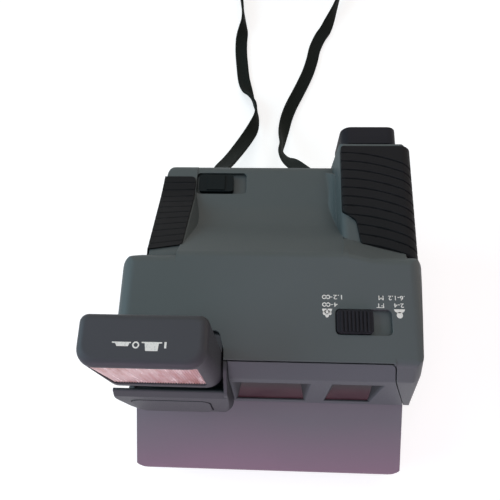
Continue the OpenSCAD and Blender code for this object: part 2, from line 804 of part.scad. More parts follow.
module front_panel() {
  color("#454b4e") difference() {
    union() {
      intersection() {
        along_y(-60, -20) panel_face(0);
        along_x(panel_left_x - 1, panel_foot_x + 1) polygon(outline([
          [crease_y - panel_lean, panel_foot_z, 0], [crease_y, crease_z, 4], [ledge_y, deck_z, 0],
          [ledge_y, deck_z - panel_t + 1.2, 0], [crease_y + panel_t, crease_z - 1.4, 0],
          [crease_y - panel_lean + panel_t, panel_foot_z, 0]
        ]));
      }
      on_panel() window_case(lens_window_x);
      on_panel() window_case(finder_window_x);
    }
    on_panel() window_cut(lens_window_x, lens_bevel);
    on_panel() window_cut(finder_window_x, finder_bevel);
  }
}

module window_case(x) {
  block([max(x[0] - window_rim, panel_left_x), 0.5, window_top - window_h - window_rim],
    [x[1] + window_rim, window_depth + pane_t + 0.4, window_top + window_rim]);
}

module window_cut(x, bevel) {
  window_hole(x, bevel);
  window_pane(x, 0.1, window_depth + 2);
}

// A pane behind its hole, grown by a clearance and as thick as given
module window_pane(x, clear, thick) {
  z = [window_top - window_h - 0.8 - clear, window_top + 0.8 + clear];
  slope = (window_depth - window_foot_depth) / window_h;
  y = [for (h = z) window_depth + (h - window_top) * slope - clear / 2];
  along_x(x[0] + 0.9 - clear, x[1] - 0.9 + clear)
    polygon([[y[0], z[0]], [y[0] + thick, z[0]], [y[1] + thick, z[1]], [y[1], z[1]]]);
}

module lens_window() {
  color("#5a2f33") on_panel() window_pane(lens_window_x, 0, pane_t);
}

module finder_window() {
  color("#3c3f48") on_panel() window_pane(finder_window_x, 0, pane_t);
}

module finder_tube() {
  color("#18191b") difference() {
    union() {
      block([finder_x[0], finder_y[0], finder_z[0]], [finder_x[1], finder_y[1], finder_z[1]]);
      block([finder_front_x, finder_y[0], finder_z[0]], [finder_x[1], finder_step_y, finder_z[1]]);
    }
    block([finder_x[0] + finder_wall, finder_y[0] - 1, finder_z[0] + finder_wall],
      [finder_x[1] - finder_wall, finder_y[1] + 1, finder_z[1] - finder_wall]);
    block([finder_front_x + finder_wall, finder_y[0] - 1, finder_z[0] + finder_wall],
      [finder_x[1] - finder_wall, finder_step_y - finder_wall, finder_z[1] - finder_wall]);
  }
}

module eyepiece_cup() {
  color("#1c1c1e") difference() {
    along_y(cup_y[0], cup_y[1]) polygon(box_outline([cup_x[0], cup_z[0]], [cup_x[1], cup_z[1]], cup_r));
    along_y(cup_y[0] + 2, cup_y[1] + 1)
      polygon(box_outline([cup_x[0] + 2, cup_z[0] + 2], [cup_x[1] - 2, cup_z[1] - 2], 3.5));
    block([finder_x[0] + 3, cup_y[0] - 1, finder_z[0] + 3], [finder_x[1] - 3, cup_y[1], finder_z[1] - 3]);
  }
}

module eyepiece_lens() {
  color("#8fa3ad") along_y(cup_y[0] + 2.1, cup_y[0] + 3.4) polygon(box_outline(
    [cup_x[0] + 2.2, cup_z[0] + 2.2], [cup_x[1] - 2.2, cup_z[1] - 2.2], 3.2));
}

// Rubber skins over the rear zones
module left_grip() {
  rubber_t = 0.9;
  back = back_y - 6.9;
  color("#1c1d1f") intersection() {
    difference() {
      grip_zone(-rubber_t);
      grip_zone(0);
      upper_solid(-0.02);
    }
    along_z(52, deck_z) polygon(outline([
      [-base_half, crest_y - 1.9, 0], [grip_inner_x - 0.4, crest_y + 5.2, 1.5],
      [grip_inner_x - 0.4, back, 2], [-base_half, back, 0]
    ]));
  }
}

module right_grip() {
  rubber_t = 1.2;
  inner = tunnel_inner_x + 1;
  step = [inner + 5, 15.8];
  color("#1c1d1f") intersection() {
    difference() {
      tunnel_zone(-rubber_t);
      upper_solid(-0.02);
    }
    along_z(52, deck_z) polygon(outline([
      [step[0] + 1.6, crest_y + 8.6, 1.5], [base_half, crest_y - 0.2, 0], [base_half, tunnel_back_y - 2.2, 0],
      [inner, tunnel_back_y - 2.2, 1], [inner, step[1] + 4, 2.5], [step[0], step[1], 2.5]
    ]));
  }
}

// Pod: the fixed front of the flash well, with the shutter button's opening
module flash_pod() {
  left_x = carriage_x[0] - 0.6;
  back = [well_back_y - well_back_t, well_back_y - 0.1];
  front = shell_front_y + wall + 0.2;
  under_deck = deck_z - wall - 0.7;
  color("#3f4447") difference() {
    intersection() {
      along_y(-big / 2, big / 2) front_outline();
      along_z(well_floor_z - 1, deck_z) polygon(outline([
        [pod_left_x, pod_front_y[0], pod_corner_r[0]], [pod_right_x, pod_front_y[0], pod_corner_r[1]],
        [pod_right_x, back[1], 0], [pod_left_x, back[1], 0]
      ]));
      union() {
        along_x(-big / 2, pod_right_x) polygon(outline([
          [pod_front_y[0], pod_foot_z, 1.5], [pod_chamfer_y, panel_foot_z, 0],
          [pod_chamfer_y, pod_top_z, 0.6], [pod_front_y[1], pod_chamfer_z, 1]
        ]));
        // Right cheek, up to the deck in front of the seam
        along_x(well_right_x, pod_right_x) polygon(outline([
          [pod_front_y[0] + 1, pod_foot_z, 0], [back[0], panel_foot_z, 0], [back[0], under_deck, 0],
          [ledge_y, under_deck, 0], [ledge_y, deck_z - 0.2, 0], [ledge_y - 2.4, deck_z - 0.2, 4],
          [pod_front_y[1] + 0.8, pod_top_z - 0.5, 4]
        ]));
        block([left_x, back[0], well_floor_z], [pod_right_x, back[1], under_deck]);
        block([left_x, front, well_floor_z], [pod_right_x, back[1], well_floor_z + well_floor_t]);
        block([well_right_x, front, well_floor_z], [pod_right_x, back[1], panel_foot_z + 1]);
      }
    }
    along_y(-70, pod_chamfer_y + 1) polygon(box_outline(
      [button_x[0] - gap, button_z[0] - gap], [button_x[1] + gap, button_z[1] + gap], button_r + gap));
  }
}

module shutter_button() {
  pod_slope = (pod_front_y[1] - pod_front_y[0]) / (pod_chamfer_z - pod_foot_z);
  face_y = pod_front_y[0] - 0.2;
  color("#3a3f42") intersection() {
    along_x(button_x[0], button_x[1]) polygon([
      [face_y, button_z[0]], [button_back_y, button_z[0]], [button_back_y, button_z[1]],
      [face_y + (button_z[1] - pod_foot_z) * pod_slope, button_z[1]]
    ]);
    along_y(-70, -40) polygon(box_outline([button_x[0], button_z[0]], [button_x[1], button_z[1]], button_r));
  }
}

// Flash head
module flash_front(t) {
  polygon(outline([
    [flash_x - flash_foot_half + t, flash_foot_z - 0.01, 0], [flash_x - flash_half + t, flash_top_z - t, 4],
    [flash_x + flash_half - t, flash_top_z - t, 4], [flash_x + flash_foot_half - t, flash_foot_z - 0.01, 0]
  ]));
}

module flash_side(t) {
  polygon(outline([
    [flash_back_y[0] - t, flash_foot_z - 0.01, 0], [flash_back_y[1] - t, flash_top_z - t, 4],
    [flash_front_y[1] + t, flash_top_z - t, 3], [flash_front_y[0] + t, flash_foot_z - 0.01, 0]
  ]));
}

// Plan of the flash head at its foot or its top, with wider round corners at the front
function flash_plan(half, front, back, t) =
  let (
    x = [flash_x - half + t - slip, flash_x + half - t + slip],
    y = [front + t - slip, back - t + slip],
    r = [for (c = flash_corner_r) c - t / 2]
  )
  outline([[x[0], y[0], r[0]], [x[1], y[0], r[0]], [x[1], y[1], r[1]], [x[0], y[1], r[1]]]);

module flash_solid(t) {
  foot = flash_plan(flash_foot_half, flash_front_y[0], flash_back_y[0], t);
  head = flash_plan(flash_half, flash_front_y[1], flash_back_y[1], t);
  intersection() {
    along_y(-70, -20) flash_front(t);
    along_x(flash_x - 30, flash_x + 30) flash_side(t);
    loft(foot, flash_foot_z - 0.01, head, flash_top_z);
  }
}

function flash_face_y(z) =
  let (rise = (z - flash_foot_z) / (flash_top_z - flash_foot_z))
  flash_front_y[0] + (flash_front_y[1] - flash_front_y[0]) * rise;

module flash_cover() {
  color("#46494c") difference() {
    flash_solid(0);
    flash_solid(flash_wall);
    along_y(-70, flash_front_y[1] + 4) polygon(box_outline(
      [flash_x - flash_lens_half, flash_lens_z[0]], [flash_x + flash_lens_half, flash_lens_z[1]], 2));
  }
}

module flash_lens() {
  half = flash_lens_half - 0.1;
  low = [flash_face_y(flash_lens_z[0]) + 0.5, flash_lens_z[0]];
  high = [flash_face_y(flash_lens_z[1]) + 0.5, flash_lens_z[1]];
  thick = [flash_lens_t, 0];
  color("#d8cdd2") intersection() {
    along_y(-70, -30) polygon(box_outline(
      [flash_x - half, flash_lens_z[0] + 0.1], [flash_x + half, flash_lens_z[1] - 0.1], 1.9));
    along_x(flash_x - 30, flash_x + 30) polygon([low, low + thick, high + thick, high]);
  }
}

module flash_reflector() {
  bowl_r = 4.6;
  mouth = 9;
  mouth_y = -44.6;
  color("#cfd3d6") along_x(flash_x - 14, flash_x + 14) difference() {
    polygon(concat(
      [[mouth_y, flash_tube_yz[1] + mouth]],
      [for (a = [70:-20:-70]) flash_tube_yz + bowl_r * [cos(a), sin(a)]],
      [[mouth_y, flash_tube_yz[1] - mouth]]));
    polygon(concat(
      [[mouth_y - 1, flash_tube_yz[1] + mouth - 0.4]],
      [for (a = [70:-20:-70]) flash_tube_yz + (bowl_r - 0.8) * [cos(a), sin(a)]],
      [[mouth_y - 1, flash_tube_yz[1] - mouth + 0.4]]));
  }
}

module flash_tube() {
  color("#e6eef2") rod_x(flash_x - 13.5, flash_x + 13.5, flash_tube_yz, 1.7);
}

module flash_carriage() {
  color("#1d1e20") difference() {
    union() {
      block([carriage_x[0], carriage_y[0], carriage_z[0]], [carriage_x[1], carriage_y[1], carriage_z[1]]);
      block([flash_x - 14, -44, carriage_z[1] - 0.5], [flash_x + 14, -39.8, flash_lens_z[0] + 2]);
    }
    block([carriage_x[0] + carriage_t, carriage_y[0] + carriage_t, carriage_z[0] - 1],
      [carriage_x[1] - carriage_t, carriage_y[1] - carriage_t, carriage_z[1] - carriage_t]);
  }
}

module flash_spring() {
  foot = well_floor_z + well_floor_t + spring_wire_r + 0.1;
  head = carriage_z[1] - carriage_t - spring_wire_r - 0.1;
  rings = 8 * spring_turns;
  path = [for (i = [0:rings])
    let (a = 360 * i / 8)
    [spring_x + spring_r * cos(a), spring_y + spring_r * sin(a), foot + (head - foot) * i / rings, 0]];
  color("#9aa0a4") band(path, 2 * spring_wire_r, 2 * spring_wire_r);
}

// Inner parts of the base
module film_chamber() {
  outer = chamber_half + 1.5;
  color("#232528") difference() {
    block([-outer, chamber_y[0], chamber_z[0]], [outer, chamber_y[1], chamber_z[1] + gate_t]);
    block([-chamber_half, chamber_y[0] - 1, chamber_z[0] - 1],
      [chamber_half, chamber_y[1] - 1, chamber_z[1]]);
    block([-gate_half, gate_y[0], chamber_z[0]], [gate_half, gate_y[1], chamber_z[1] + 5]);
    block([-outer - 4, pick_slot_y[0], pick_slot_z[0]], [1 - chamber_half, pick_slot_y[1], pick_slot_z[1]]);
  }
}

module battery_contacts() {
  color("#c8b070") for (x = [-9, 3]) block([x, 18, floor_t], [x + 6, 40, floor_t + 0.8]);
}

module mirror_box_solid(t) {
  foot = chamber_z[1] + gate_t - (t > 0 ? 1 : 0);
  mid_y = slope_sum - box_mid_z - t;
  along_x(-box_half + t, box_half - t) polygon([
    [box_front_y + t, foot], [box_front_y + t, box_mid_z - t], [mid_y, box_mid_z - t],
    [box_back_y - t, slope_sum - box_back_y - t], [box_back_y - t, foot]
  ]);
  along_x(-neck_half + t, neck_half - t) polygon([
    [box_front_y + t, box_mid_z - 3], [box_front_y + t, box_top_z - t],
    [slope_sum - box_top_z - t, box_top_z - t], [mid_y, box_mid_z - t], [mid_y, box_mid_z - 3]
  ]);
}

module mirror_box() {
  color("#1b1c1e") difference() {
    mirror_box_solid(0);
    mirror_box_solid(box_wall);
    rod_y(box_front_y - 1, box_front_y + 5, [lens_x, lens_z], barrel_r + 0.1);
  }
}

module mirror() {
  top_sum = slope_sum - box_wall * 2 - 0.6;
  top_z = 84;
  narrow = mirror_half[0];
  broad = mirror_half[1];
  color("#c9d2d6") translate([0, top_sum - top_z, top_z]) rotate([45, 0, 0]) translate([0, -mirror_t, 0])
    along_y(0, mirror_t) polygon([
      [-narrow, 0], [narrow, 0], [narrow, -mirror_step[0]], [broad, -mirror_step[1]],
      [broad, -mirror_len], [-broad, -mirror_len], [-broad, -mirror_step[1]], [-narrow, -mirror_step[0]]
    ]);
}

// Lens and shutter
module lens_barrel() {
  color("#202123") difference() {
    rod_y(housing_y[1], -26, [lens_x, lens_z], barrel_r);
    rod_y(housing_y[1] - 1, -25, [lens_x, lens_z], barrel_bore_r);
  }
}

module taking_lens() {
  half_t = 1.6;
  curve_r = 14;
  edge_r = barrel_bore_r - 0.05;
  color("#a9bcc6") translate([lens_x, -30, lens_z]) rotate([90, 0, 0]) intersection() {
    cylinder(h = 6, r = edge_r, center = true, $fn = 64);
    translate([0, 0, half_t - curve_r]) sphere(r = curve_r, $fn = 96);
    translate([0, 0, curve_r - half_t]) sphere(r = curve_r, $fn = 96);
  }
}

module shutter_housing() {
  color("#26282b") difference() {
    union() {
      along_y(housing_y[0], housing_y[1]) polygon(box_outline([lens_x - 13.5, 58], [20.4, 90], 3));
      for (s = [-1, 1])
        rod_y(arm_y[1] + gap, housing_y[0] + 0.5,
          [lens_x + s * blade_pivot_dx, lens_z + blade_pivot_dz], stud_r);
      rod_y(-40.6, housing_y[0] + 0.5, arm_pivot, stud_r);
    }
    rod_y(housing_y[0] - 1, housing_y[1] + 1, [lens_x, lens_z], housing_hole_r);
    rod_y(housing_y[0] - 1, housing_y[1] + 1, sensor_xz, 2.5);
  }
}

module shutter_blade(s, y) {
  pivot = [lens_x + s * blade_pivot_dx, lens_z + blade_pivot_dz];
  tip = [lens_x, lens_z];
  dir = (tip - pivot) / norm(tip - pivot);
  side = [-dir[1], dir[0]];
  difference() {
    union() {
      rod_y(y, y + blade_t, tip, blade_disc_r);
      rod_y(y, y + blade_t, pivot, 2.4);
      along_y(y, y + blade_t)
        polygon([pivot + 2 * side, pivot - 2 * side, tip - 3.5 * side, tip + 3.5 * side]);
    }
    rod_y(y - 1, y + blade_t + 1, pivot, stud_r + slip);
  }
}

module shutter_blade_a() {
  color("#0f1011") shutter_blade(-1, blade_a_y);
}

module shutter_blade_b() {
  color("#0f1011") shutter_blade(1, blade_b_y);
}

// The close-up lens swings in front of the taking lens as the slider goes to its far end
function arm_tip(turn) =
  let (d = [lens_x, lens_z] - arm_pivot)
  arm_pivot + [d[0] * cos(turn) - d[1] * sin(turn), d[0] * sin(turn) + d[1] * cos(turn)];

module closeup_lens_arm() {
  tip = arm_tip(arm_swing);
  dir = (tip - arm_pivot) / norm(tip - arm_pivot);
  side = [-dir[1], dir[0]];
  color("#1f2022") difference() {
    union() {
      rod_y(arm_y[0], arm_y[1], tip, arm_disc_r);
      rod_y(arm_y[0], arm_y[1], arm_pivot, 2.6);
      along_y(arm_y[0], arm_y[1])
        polygon([arm_pivot + 2 * side, arm_pivot - 2 * side, tip - 2 * side, tip + 2 * side]);
    }
    rod_y(arm_y[0] - 1, arm_y[1] + 1, arm_pivot, stud_r + slip);
    rod_y(arm_y[0] - 1, arm_y[1] + 1, tip, arm_lens_r);
  }
}

module closeup_lens() {
  color("#b7c7cf") rod_y(arm_y[0] + 0.1, arm_y[1] - 0.1, arm_tip(arm_swing), arm_lens_r);
}

module closeup_slider() {
  color("#26262c") slide_block(slider_x, slider_y, deck_z, slider_len, slider_w, 8, 93);
}

module flash_release() {
  color("#1b1c1e") slide_block(release_x, release_y, rear_deck_z, release_len, release_w, 1, rear_deck_z - 6);
}

module light_sensor() {
  color("#2b2d30") rod_y(-41, housing_y[1], sensor_xz, 2.4);
}

// Electronics
module circuit_board() {
  color("#2f5d3a") block([-12, -28, 92], [20, -9.5, 93.6]);
}

module flash_capacitor() {
  color("#22303f") rod_y(-28, -6, [-43, 80], 8);
}

// Film drive
module drive_motor() {
  color("#8c9196") difference() {
    rod_x(motor_x[0], motor_x[1], motor_yz, motor_r);
    rod_x(motor_x[1] - 4, motor_x[1] + 1, motor_yz, stud_r + slip);
  }
}

module gear_plate() {
  color("#6d7276") {
    along_x(plate_x[0], plate_x[1]) polygon(box_outline([-61, 19], [-24, 36.5], 4));
    rod_x(gear_x[0] - 0.2, plate_x[0] + 0.5, idler_yz, 1.5);
    rod_x(gear_x[0] - 0.2, plate_x[0] + 0.5, drive_yz, 1.5);
  }
}

module gear(yz, teeth, phase, bore) {
  translate([0, yz[0], yz[1]]) along_x(gear_x[0], gear_x[1]) difference() {
    polygon(gear_outline(teeth, phase));
    circle(r = bore, $fn = 48);
  }
}

module motor_pinion() {
  color("#d9d4c4") union() {
    gear(motor_yz, pinion_teeth, pinion_phase, 0.9);
    rod_x(motor_x[1] - 3.5, gear_x[1], motor_yz, stud_r);
  }
}

module drive_gear() {
  color("#e0dccf") gear(drive_yz, drive_teeth, drive_phase, 1.5 + slip);
}

module idler_gear() {
  color("#e0dccf") gear(idler_yz, idler_teeth, idler_phase, 1.5 + slip);
}

module roller(yz) {
  rod_x(-roller_half, roller_half, yz, roller_r);
  rod_x(-roller_half - 4, gear_x[1], yz, shaft_r);
}

module upper_roller() {
  color("#b9bec2") roller(upper_yz);
}

module lower_roller() {
  color("#b9bec2") roller(lower_yz);
}

module upper_roller_gear() {
  color("#e0dccf") gear(upper_yz, roller_teeth, upper_phase, shaft_r + 0.02);
}

module lower_roller_gear() {
  color("#e0dccf") gear(lower_yz, roller_teeth, lower_phase, shaft_r + 0.02);
}

module roller_frame() {
  front = door_y + door_wall + 0.2;
  color("#74797d") difference() {
    union() {
      frame_cheek(frame_x[0], frame_x[1], front);
      frame_cheek(-frame_x[1], -frame_x[0], front);
      block([-frame_x[0] - 0.5, front, 7.2], [frame_x[0] + 0.5, front + 4.5, 8.8]);
    }
    for (yz = [upper_yz, lower_yz]) rod_x(-big / 2, big / 2, yz, shaft_r + slip);
  }
}

module frame_cheek(x0, x1, front) {
  along_x(x0, x1) polygon([[front, 7.2], [-62, 7.2], [-62, 31.5], [-66.5, 31.5], [front, 25]]);
}

// Film door, hinged at its lower front edge
module door_solid(t) {
  foot = door_foot_z - 3 * t;
  half = base_half - door_inset - t;
  intersection() {
    along_y(-big / 2, big / 2) front_outline(door_inset + t, -3 * t);
    along_x(-big / 2, big / 2) polygon(outline([
      [door_y + 1.2 + t, foot, 0], [door_y + t, hinge[1], 0], [door_y + t, door_front_z - t * 0.6, 4 - t],
      [door_back_y + t * 0.1, door_back_z - t * 1.1, 0], [door_back_y + t * 0.1, foot, 0]
    ]));
    along_z(-20, big) polygon(outline([
      [-half, door_y + t, door_corner_r], [half, door_y + t, door_corner_r], [half, 0, 0], [-half, 0, 0]
    ]));
  }
}

module film_door() {
  lug_start = hinge_arm_x[1] + 0.5;
  color("#4c5254") difference() {
    union() {
      difference() {
        door_solid(0);
        door_solid(door_wall);
      }
      rod_x(lug_start, hinge_end_x, hinge, hinge_pin_r + 2);
      rod_x(-hinge_end_x, -lug_start, hinge, hinge_pin_r + 2);
    }
    block([-slot_half, door_y - 2, slot_z[0]], [slot_half, door_y + 5, slot_z[1]]);
    rod_x(-hinge_end_x + 1.5, hinge_end_x - 1.5, hinge, hinge_pin_r + slip);
  }
}

module door_hinge_pins() {
  pin_end = hinge_end_x - 1.8;
  color("#a7acb0") {
    rod_x(hinge_arm_x[0], pin_end, hinge, hinge_pin_r);
    rod_x(-pin_end, -hinge_arm_x[0], hinge, hinge_pin_r);
  }
}

module door_latch() {
  x_out = -half_at(latch_z[1]) - 0.8;
  color("#2a2c2f") {
    block([x_out, latch_y[0], latch_z[0]], [latch_hook_x[0] + 0.2, latch_y[1], latch_z[1]]);
    block([latch_hook_x[0], latch_y[0] - 5, latch_z[0] - 2],
      [latch_hook_x[1], latch_y[1] + 2, latch_z[1] + 2]);
  }
}

module pick_arm() {
  color("#9ea3a7") {
    block([-49.2, -14, 20.2], [-48.2, 44, 22.8]);
    block([-49.2, 41, 20.2], [-44.5, 42.2, 22.8]);
  }
}

// Frame counter
module counter_dial() {
  color("#e9e6da") difference() {
    rod_y(counter_y[0], counter_y[1], counter_xz, counter_r);
    rod_y(counter_y[0] - 1, counter_y[1] + 1, counter_xz, 1.5 + slip);
  }
}

module counter_window() {
  color("#9fb0b8") block(
    [counter_xz[0] - counter_hole[0] / 2 + 0.05, back_y - 1.4, counter_hole_z - counter_hole[1] / 2 + 0.05],
    [counter_xz[0] + counter_hole[0] / 2 - 0.05, back_y - 0.3, counter_hole_z + counter_hole[1] / 2 - 0.05]);
}

// Strap
module strap_lugs() {
  color("#3a3e40") for (x = lug_x) {
    for (s = [-1, 1]) {
      x0 = x + s * (lug_w / 2) - 0.8;
      along_x(x0, x0 + 1.6) polygon(outline([
        [back_y, lug_z - 3, 0], [back_y + lug_reach, lug_z - 2, 1.5],
        [back_y + lug_reach, lug_z + 2, 1.5], [back_y, lug_z + 3, 0]
      ]));
    }
    rod_x(x - lug_w / 2, x + lug_w / 2, [back_y + lug_reach - 2, lug_z], lug_bar_r);
  }
}

module strap_left_run() {
  color("#191c1a") band(left_path, strap_w, strap_t);
}

module strap_right_run() {
  color("#191c1a") band(right_path, strap_w, strap_t);
}

module strap_coil() {
  color("#191c1a") band(coil_path, strap_w, strap_t);
}

module screws() {
  color("#8a8f93") for (p = screw_posts) translate([p[0], p[1], 0]) {
    translate([0, 0, 0.4]) cylinder(h = 1.2, r = screw_r, $fn = 48);
    translate([0, 0, 1.5]) cylinder(h = 7, r = pilot_r - slip, $fn = 48);
  }
}

base_shell();
top_shell();
front_panel();
lens_window();
finder_window();
finder_tube();
eyepiece_cup();
eyepiece_lens();
left_grip();
right_grip();
flash_pod();
film_chamber();
battery_contacts();
mirror_box();
mirror();
lens_barrel();
taking_lens();
shutter_housing();
shutter_blade_a();
shutter_blade_b();
closeup_slider();
closeup_lens_arm();
closeup_lens();
light_sensor();
circuit_board();
flash_capacitor();
drive_motor();
gear_plate();
motor_pinion();
drive_gear();
idler_gear();
film_door();
door_hinge_pins();
door_latch();
roller_frame();
upper_roller();
lower_roller();
upper_roller_gear();
lower_roller_gear();
pick_arm();
flash_cover();
flash_lens();
flash_reflector();
flash_tube();
flash_carriage();
flash_spring();
shutter_button();
flash_release();
counter_dial();
counter_window();
strap_lugs();
screws();
strap_left_run();
strap_right_run();
strap_coil();
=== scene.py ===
"""Looks of the instant camera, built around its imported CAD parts.

The scene is in metres, in the CAD frame. Sizes in millimetres become metres with MM.
"""
import math

import bmesh
import bpy
from mathutils import Matrix, Vector


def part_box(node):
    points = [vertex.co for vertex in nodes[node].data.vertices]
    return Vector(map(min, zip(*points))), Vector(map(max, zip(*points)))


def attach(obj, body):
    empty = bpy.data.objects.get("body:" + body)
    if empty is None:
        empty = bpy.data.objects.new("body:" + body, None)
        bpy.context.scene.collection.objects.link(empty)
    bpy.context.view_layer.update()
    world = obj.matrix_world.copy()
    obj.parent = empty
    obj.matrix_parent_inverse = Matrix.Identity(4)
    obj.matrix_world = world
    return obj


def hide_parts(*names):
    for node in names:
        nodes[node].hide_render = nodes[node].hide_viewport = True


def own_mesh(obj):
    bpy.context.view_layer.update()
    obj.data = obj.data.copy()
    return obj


MM = 0.001
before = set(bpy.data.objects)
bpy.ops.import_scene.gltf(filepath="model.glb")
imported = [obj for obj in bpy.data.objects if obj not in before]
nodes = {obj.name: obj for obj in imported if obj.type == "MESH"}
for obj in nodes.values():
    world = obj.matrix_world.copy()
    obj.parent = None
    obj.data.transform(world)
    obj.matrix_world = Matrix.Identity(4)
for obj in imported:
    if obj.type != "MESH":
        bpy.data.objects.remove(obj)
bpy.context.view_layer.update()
scene = bpy.context.scene


# Helpers for meshes

WELD = 2e-6
ON_PLANE = 1e-7
SMOOTH_BELOW = math.radians(28)


def box_mm(node):
    """Lowest and highest corner of a CAD node, in mm."""
    return [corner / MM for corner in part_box(node)]


def arc(centre, radii, start, finish, steps):
    """Points on an ellipse between two angles in degrees. A full turn doesn't repeat its first point."""
    count = steps if finish - start == 360 else steps + 1
    angles = [math.radians(start + (finish - start) * k / steps) for k in range(count)]
    return [(centre[0] + radii[0] * math.cos(a), centre[1] + radii[1] * math.sin(a)) for a in angles]


def add_ring(bm, points):
    """New vertices of a mesh at points in mm."""
    return [bm.verts.new(Vector(p) * MM) for p in points]


def skin(bm, rings, capped=True):
    """Faces from each ring of vertices to the next, and over both ends. Gives the faces between rings."""
    faces = []
    for low, high in zip(rings, rings[1:]):
        for k in range(len(low)):
            j = (k + 1) % len(low)
            faces.append(bm.faces.new((low[k], low[j], high[j], high[k])))
    if capped:
        bm.faces.new(list(reversed(rings[0])))
        bm.faces.new(rings[-1])
    return faces


def to_mesh(bm, name):
    """The mesh that has been drawn in bm, which is used up."""
    mesh = bpy.data.meshes.new(name)
    bm.to_mesh(mesh)
    bm.free()
    return mesh


def add_object(name, data):
    """A new object in the scene."""
    obj = bpy.data.objects.new(name, data)
    scene.collection.objects.link(obj)
    return obj


def evaluated_mesh(obj):
    """The mesh of an object as its modifiers leave it."""
    return bpy.data.meshes.new_from_object(obj.evaluated_get(bpy.context.evaluated_depsgraph_get()))


def new_piece(name, mesh, material, body):
    """An object of one material that moves with a body."""
    obj = add_object(name, mesh)
    mesh.materials.clear()
    mesh.materials.append(material)
    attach(obj, body)
    return obj


def soften_group():
    """A modifier's node group that welds a mesh, shades its arcs smooth and keeps its edges."""
    tree = bpy.data.node_groups.new("soften", "GeometryNodeTree")
    for way in ("INPUT", "OUTPUT"):
        tree.interface.new_socket("Geometry", in_out=way, socket_type="NodeSocketGeometry")
    new, link = tree.nodes.new, tree.links.new
    drop = new("GeometryNodeRemoveAttribute")
    drop.inputs["Name"].default_value = "custom_normal"
    weld = new("GeometryNodeMergeByDistance")
    weld.inputs["Distance"].default_value = WELD
    faces = new("GeometryNodeSetShadeSmooth")
    edges = new("GeometryNodeSetShadeSmooth")
    edges.domain = "EDGE"
    gentle = new("FunctionNodeCompare")
    gentle.operation = "LESS_THAN"
    gentle.inputs["B"].default_value = SMOOTH_BELOW
    link(new("GeometryNodeInputMeshEdgeAngle").outputs["Unsigned Angle"], gentle.inputs["A"])
    link(gentle.outputs["Result"], edges.inputs["Shade Smooth"])
    chain = [new("NodeGroupInput"), drop, weld, faces, edges, new("NodeGroupOutput")]
    for a, b in zip(chain, chain[1:]):
        link(a.outputs[0], b.inputs[0])
    return tree


SOFTEN = soften_group()


def soften(obj):
    """Smooth shading over the arcs of an object, with flat faces kept flat."""
    obj.modifiers.new("soften", "NODES").node_group = SOFTEN
    weigh = obj.modifiers.new("weigh", "WEIGHTED_NORMAL")
    weigh.keep_sharp = True


# Helpers for node trees

SHADER_SAMPLES = 4


def rgb(r, g, b):
    return (r, g, b, 1.0)


def shaded(color, share):
    """A colour made darker, down to a share of its light."""
    return rgb(*[c * share for c in color])


class Tree:
    """The node tree of a material or a world, with short calls to add and join its nodes."""

    def __init__(self, owner):
        owner.use_nodes = True
        self.nodes = owner.node_tree.nodes
        self.links = owner.node_tree.links

    def add(self, kind, inputs=None, **props):
        node = self.nodes.new(kind)
        for key, value in props.items():
            setattr(node, key, value)
        for key, value in (inputs or {}).items():
            self.set(node.inputs[key], value)
        return node

    def set(self, socket, value):
        if isinstance(value, bpy.types.NodeSocket):
            self.links.new(value, socket)
        else:
            socket.default_value = value

    def span(self, value, low, high, to_low=0.0, to_high=1.0):
        return self.add("ShaderNodeMapRange", {
            "Value": value, "From Min": low, "From Max": high, "To Min": to_low, "To Max": to_high,
        }).outputs["Result"]

    def mix(self, factor, a, b):
        return self.add("ShaderNodeMix", {0: factor, 6: a, 7: b}, data_type="RGBA").outputs[2]

    def math(self, op, a, b=0.0):
        return self.add("ShaderNodeMath", {0: a, 1: b}, operation=op).outputs[0]

    def seen(self):
        """1 for rays from the eye, mirrored ones and those through glass too, and 0 for soft light."""
        rays = self.add("ShaderNodeLightPath").outputs
        either = self.math("MAXIMUM", rays["Is Camera Ray"], rays["Is Transmission Ray"])
        return self.math("MAXIMUM", either, rays["Is Glossy Ray"])


class Finish(Tree):
    """A material, with calls that set its shader and make patterns from places in metres."""

    def __init__(self, name):
        self.mat = bpy.data.materials.new(name)
        super().__init__(self.mat)
        self.bsdf = next(n for n in self.nodes if n.type == "BSDF_PRINCIPLED")
        self.coord = self.nodes.new("ShaderNodeTexCoord").outputs["Object"]

    def surface(self, **inputs):
        """Sets inputs of the shader, named with _ for a space."""
        for key, value in inputs.items():
            self.set(self.bsdf.inputs[key.replace("_", " ")], value)

    def bump(self, strength, depth, height, **normal):
        """Small bumps, with a depth in mm, over the normal of the face or the one given."""
        inputs = {"Strength": strength, "Distance": depth * MM, "Height": height}
        self.surface(Normal=self.add("ShaderNodeBump", {**inputs, **normal}).outputs["Normal"])

    def axes(self, vector=None):
        return self.add("ShaderNodeSeparateXYZ", {"Vector": vector or self.coord}).outputs

    def stretched(self, scale):
        return self.add("ShaderNodeMapping", {"Vector": self.coord, "Scale": scale}).outputs["Vector"]

    def noise(self, scale, detail=2.0, roughness=0.5, coord=None):
        return self.add("ShaderNodeTexNoise", {
            "Vector": coord or self.coord, "Scale": scale, "Detail": detail, "Roughness": roughness,
        }).outputs["Fac"]

    def hollows(self, reach):
        """1 on open faces, less in hollows of the piece itself."""
        inputs = {"Distance": reach}
        node = self.add("ShaderNodeAmbientOcclusion", inputs, samples=SHADER_SAMPLES, only_local=True)
        return node.outputs["AO"]

    def edges(self, radius):
        """Rounded normal and a mask that is 1 along edges."""
        bevel = self.add("ShaderNodeBevel", {"Radius": radius}, samples=SHADER_SAMPLES).outputs["Normal"]
        flat = self.add("ShaderNodeNewGeometry").outputs["Normal"]
        dot = self.add("ShaderNodeVectorMath", {0: bevel, 1: flat}, operation="DOT_PRODUCT")
        return bevel, self.span(dot.outputs["Value"], 0.75, 0.99, 1.0, 0.0)


# Materials

